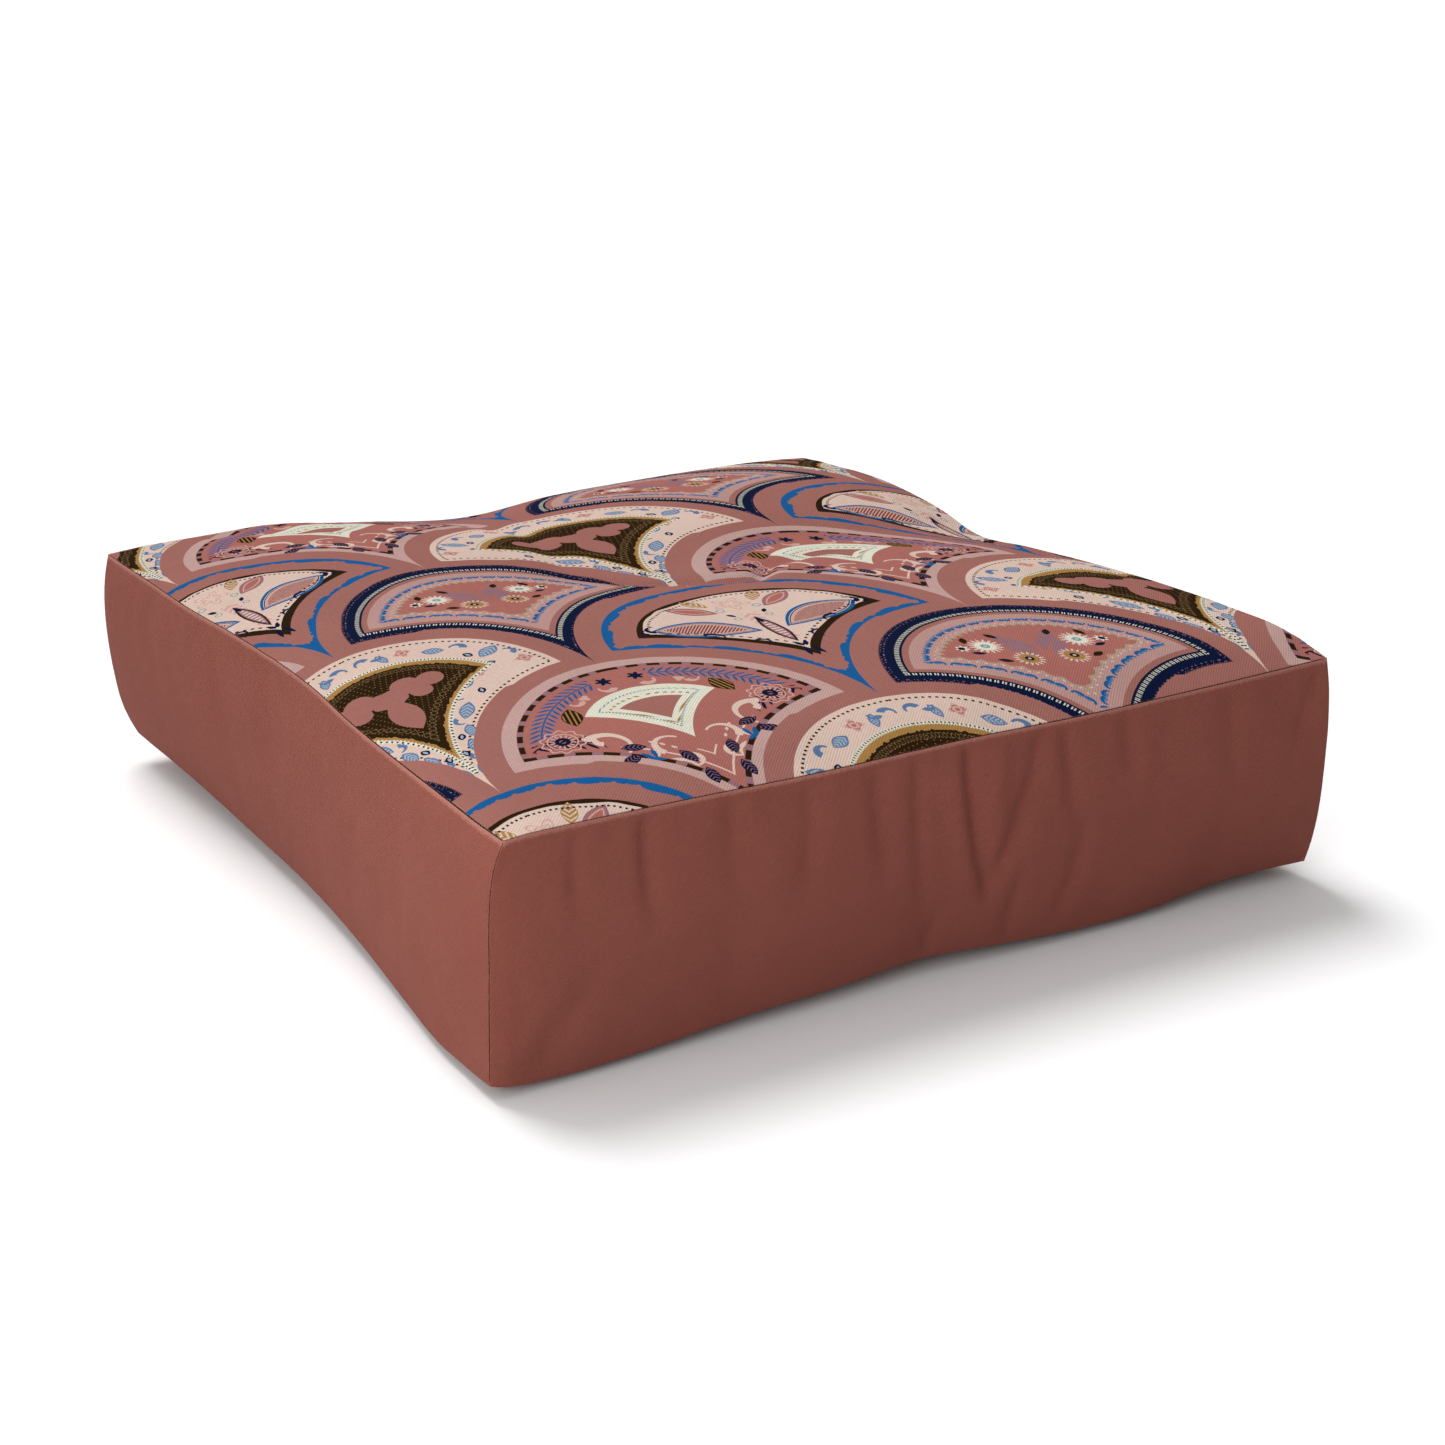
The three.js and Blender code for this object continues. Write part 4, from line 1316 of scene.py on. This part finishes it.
def thread_material():
    material, tree = new_material("thread_look", specular_ior_level=0.35, sheen_weight=0.15)
    x, y, z, place = object_place(tree)
    twist = wave(x + y + z * 1.3, 0.55 * MM)
    color = tint(srgb(150, 92, 80), linear(twist, 0.09, 0.92) + noise(place, 9 * MM) * 0.2)
    return finish_material(material, color, twist, 0.06 * MM, linear(twist, 0.05, 0.66))


def label_material():
    material, tree = new_material("label_look", specular_ior_level=0.4, sheen_weight=0.2)
    x, y, to_edge, place = fabric_place(tree)
    satin = wave(y, 0.5 * MM) * 0.7 + wave(x, 0.42 * MM) * 0.3
    selvedge = linear(1.6 * MM - to_edge, 1 / (0.4 * MM), 0.0, clamp=True)
    soil = noise(place, 8 * MM, 4.0)
    color = tint(srgb(232, 224, 214), linear(soil, 0.25, 0.86) + satin * 0.03)
    color = mix_color(selvedge * 0.5, color, srgb(190, 170, 158))
    relief = satin + selvedge * 1.5
    return finish_material(material, color, relief, 0.05 * MM, linear(soil, 0.2, 0.42))


def liner_material():
    material, tree = new_material("liner_look", specular_ior_level=0.2)
    x, y, z, place = object_place(tree)
    bonds = wave(x + z, 2.4 * MM) * wave(y - z, 2.4 * MM)
    fibres = noise(place, 2.5 * MM, 5.0, (1, 0.35, 0.8))
    color = tint(srgb(240, 237, 231), linear(fibres, 0.22, 0.87) + bonds * 0.03)
    relief = bonds + fibres * 0.8
    return finish_material(material, color, relief, 0.1 * MM, linear(fibres, 0.1, 0.86))


def fibre_material():
    material, tree = new_material("fibre_look", specular_ior_level=0.1, sheen_weight=0.3)
    place = object_place(tree)[3]
    strands = noise(place, 5 * MM, 6.0, (0.35, 1.2, 1.0))
    tufts = noise(place, 22 * MM, 3.0)
    color = tint(srgb(246, 244, 238), linear(strands, 0.3, 0.7) + tufts * 0.24)
    return finish_material(material, color, strands + tufts, 1.2 * MM, linear(strands, 0.1, 0.9))


# ---- Stage, light and camera ----

SUN = {"energy": 2.8, "spread": 30, "travel": (0.04, -0.53, -0.80)}
SIDE_LIGHT = {"power": 16.0, "size": 0.9, "at": (-1.6, -1.3, 0.7), "aim": (-0.35, -0.35, 0.08)}
SKY = {"level": 0.19, "x": -0.32, "y": 0.30, "z": 0.70}  # brighter overhead, left and behind
STAGE_RADIUS, STAGE_SIDES, BACKDROP_HEIGHT = 30, 64, 20
WHITE = (1, 1, 1, 1)


def make_floor(rim):
    floor = mesh_object("floor", rim, [list(range(len(rim)))])
    look = new_material("floor_white", base_color=(0.77, 0.77, 0.77, 1), roughness=0.9)[0]
    floor.data.materials.append(look)


def make_backdrop(rim):
    """A wall round the floor, as pale as the floor is there. It neither lights nor shades."""
    count = len(rim)
    after = np.roll(np.arange(count), -1)
    faces = np.stack([np.arange(count), after, after + count, np.arange(count) + count], -1)
    wall = mesh_object("backdrop", np.concatenate([rim, rim + (0, 0, BACKDROP_HEIGHT)]), faces)
    look = new_material(
        "backdrop_white", base_color=(0, 0, 0, 1), specular_ior_level=0.0,
        emission_color=WHITE, emission_strength=1.0,
    )[0]
    look.cycles.emission_sampling = "NONE"
    wall.data.materials.append(look)
    wall.visible_diffuse = wall.visible_glossy = wall.visible_shadow = False


def make_sky():
    world = bpy.data.worlds.new("studio")
    bpy.context.scene.world = world
    world.use_nodes = True
    tree = world.node_tree
    x, y, z, _ = split_place(tree, tree.nodes.new("ShaderNodeTexCoord").outputs["Generated"])
    sideways = most(linear(x, SKY["x"], SKY["level"]) + y * SKY["y"], 0.0)
    background = tree.nodes["Background"]
    background.inputs["Color"].default_value = WHITE
    tree.links.new((sideways + most(z, 0.0) * SKY["z"]).socket, background.inputs["Strength"])


def add_light(name, kind, travel, at=(0, 0, 2)):
    lamp = bpy.data.lights.new(name, kind)
    light = new_object(name, lamp)
    light.location = at
    light.rotation_euler = Vector(travel).to_track_quat("-Z", "Y").to_euler()
    return lamp


def make_stage():
    turn = np.linspace(0, 2 * math.pi, STAGE_SIDES, endpoint=False)
    rim = STAGE_RADIUS * np.column_stack([np.cos(turn), np.sin(turn), 0 * turn])
    make_floor(rim)
    make_backdrop(rim)
    make_sky()
    sun = add_light("key", "SUN", SUN["travel"])
    sun.energy, sun.angle = SUN["energy"], math.radians(SUN["spread"])
    aim = np.array(SIDE_LIGHT["aim"]) - SIDE_LIGHT["at"]
    side = add_light("side", "AREA", aim, SIDE_LIGHT["at"])
    side.energy, side.size = SIDE_LIGHT["power"], SIDE_LIGHT["size"]
    bpy.context.scene.view_settings.view_transform = "Standard"


CAMERA_AT = (-1.441, -2.333, 1.121)  # in widths of the cushion, height from the lower seam
CAMERA_AZIMUTH, CAMERA_ELEVATION, CAMERA_ROLL = -32.64, 20.32, 1.21
CAMERA_FOCAL = 1.766  # in frame widths
SENSOR = 36  # the frame's width in the camera, in millimetres


def make_camera():
    a, e, r = (math.radians(x) for x in (CAMERA_AZIMUTH, CAMERA_ELEVATION, CAMERA_ROLL))
    ahead = np.array([-math.sin(a) * math.cos(e), math.cos(a) * math.cos(e), -math.sin(e)])
    level = np.array([math.cos(a), math.sin(a), 0])
    upright = np.cross(level, ahead)
    lens = bpy.data.cameras.new("camera")
    lens.sensor_width, lens.lens = SENSOR, CAMERA_FOCAL * SENSOR
    lens.clip_start, lens.clip_end = 0.05, 100
    matrix = np.eye(4)
    matrix[:3, 0] = math.cos(r) * level + math.sin(r) * upright
    matrix[:3, 1] = -math.sin(r) * level + math.cos(r) * upright
    matrix[:3, 2] = -ahead
    matrix[:3, 3] = np.array(CAMERA_AT) * WIDTH + (0, 0, SEAM_LOW)
    camera = new_object("camera", lens)
    camera.matrix_world = Matrix(matrix.tolist())
    bpy.context.scene.camera = camera


# ---- Building the pieces ----


def dress(piece, look, slot, *nodes):
    """Gives a piece its material, hides the CAD nodes it stands for, and hangs it on the cover's body."""
    piece.data.materials.append(look)
    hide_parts(*nodes)
    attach(piece, "cover")


def build_cover():
    plain = twill_material("plain_twill_look", print_on=False)
    printed = twill_material("printed_twill_look", print_on=True)
    opening = OPENING / BOXING
    panels = [(name, "", (0, 1), ("seam", "seam")) for name in PANELS if name != "rear"]
    panels.append(("rear", "_lower", (0, 0.5 - opening), ("seam", "fold")))
    panels.append(("rear", "_upper", (0.5 + opening, 1), ("fold", "seam")))
    for name, half, strip, edges in panels:
        panel = make_panel(f"cover_{name}{half}", name, strip, edges)
        look, slot = (printed, "printed_twill") if name == "top" else (plain, "plain_twill")
        dress(panel, look, slot, f"{name}_panel{half}")


def build_insert():
    linings, filling = make_insert()
    liner = liner_material()
    for name, piece in linings.items():
        dress(piece, liner, "liner", f"liner_{name}")
    dress(filling, fibre_material(), "fill", "fibre_fill")


def build_zip(thread):
    tape, coil, metal = tape_material(), coil_material(), metal_material()
    for half, up in (("upper", 1), ("lower", -1)):
        dress(make_tape(f"tape_{half}", f"zip_tape_{half}"), tape, "zip_tape", f"zip_tape_{half}")
        dress(make_coil(f"coil_{half}", f"zip_coil_{half}", up), coil, "zip_coil", f"zip_coil_{half}")
        node = f"zip_topstitch_{half}"
        low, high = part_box(node)
        shares = rear_shares(np.linspace(low[0], high[0], 400), [(low[2] + high[2]) / 2])
        places, out = cover_points("rear", *shares)[:, 0], facing("rear", *shares)[:, 0]
        dress(joined(f"topstitch_{half}", stitches(places, out, 0.5 * MM)), thread, "thread", node)
    for node in ("zip_slider", "zip_pull", "zip_bottom_stop", "zip_top_stop_upper",
                 "zip_top_stop_lower"):
        for slot in bpy.data.objects[node].material_slots:
            slot.material = metal


def build_seam_threads(thread):
    for face in ("top", "bottom"):
        rows = []
        for along_u, end in ((True, 0), (True, 1), (False, 0), (False, 1)):
            rows += seam_stitches(face, along_u, end, SEAM_DEPTH)
        dress(joined(f"{face}_seam_stitches", rows), thread, "thread", f"{face}_seam_thread")
    for corner, side, end in (
        ("front_left", "front", 0), ("front_right", "front", 1),
        ("rear_right", "rear", 0), ("rear_left", "rear", 1),
    ):
        row = seam_stitches(side, False, end, CORNER_INSET)
        dress(joined(f"corner_stitches_{corner}", row), thread, "thread", f"corner_thread_{corner}")


make_stage()
make_camera()
moved = simulate_cover()
build_cover()
build_insert()
sewing = thread_material()
build_zip(sewing)
build_seam_threads(sewing)
dress(make_label(), label_material(), "label", "care_label")
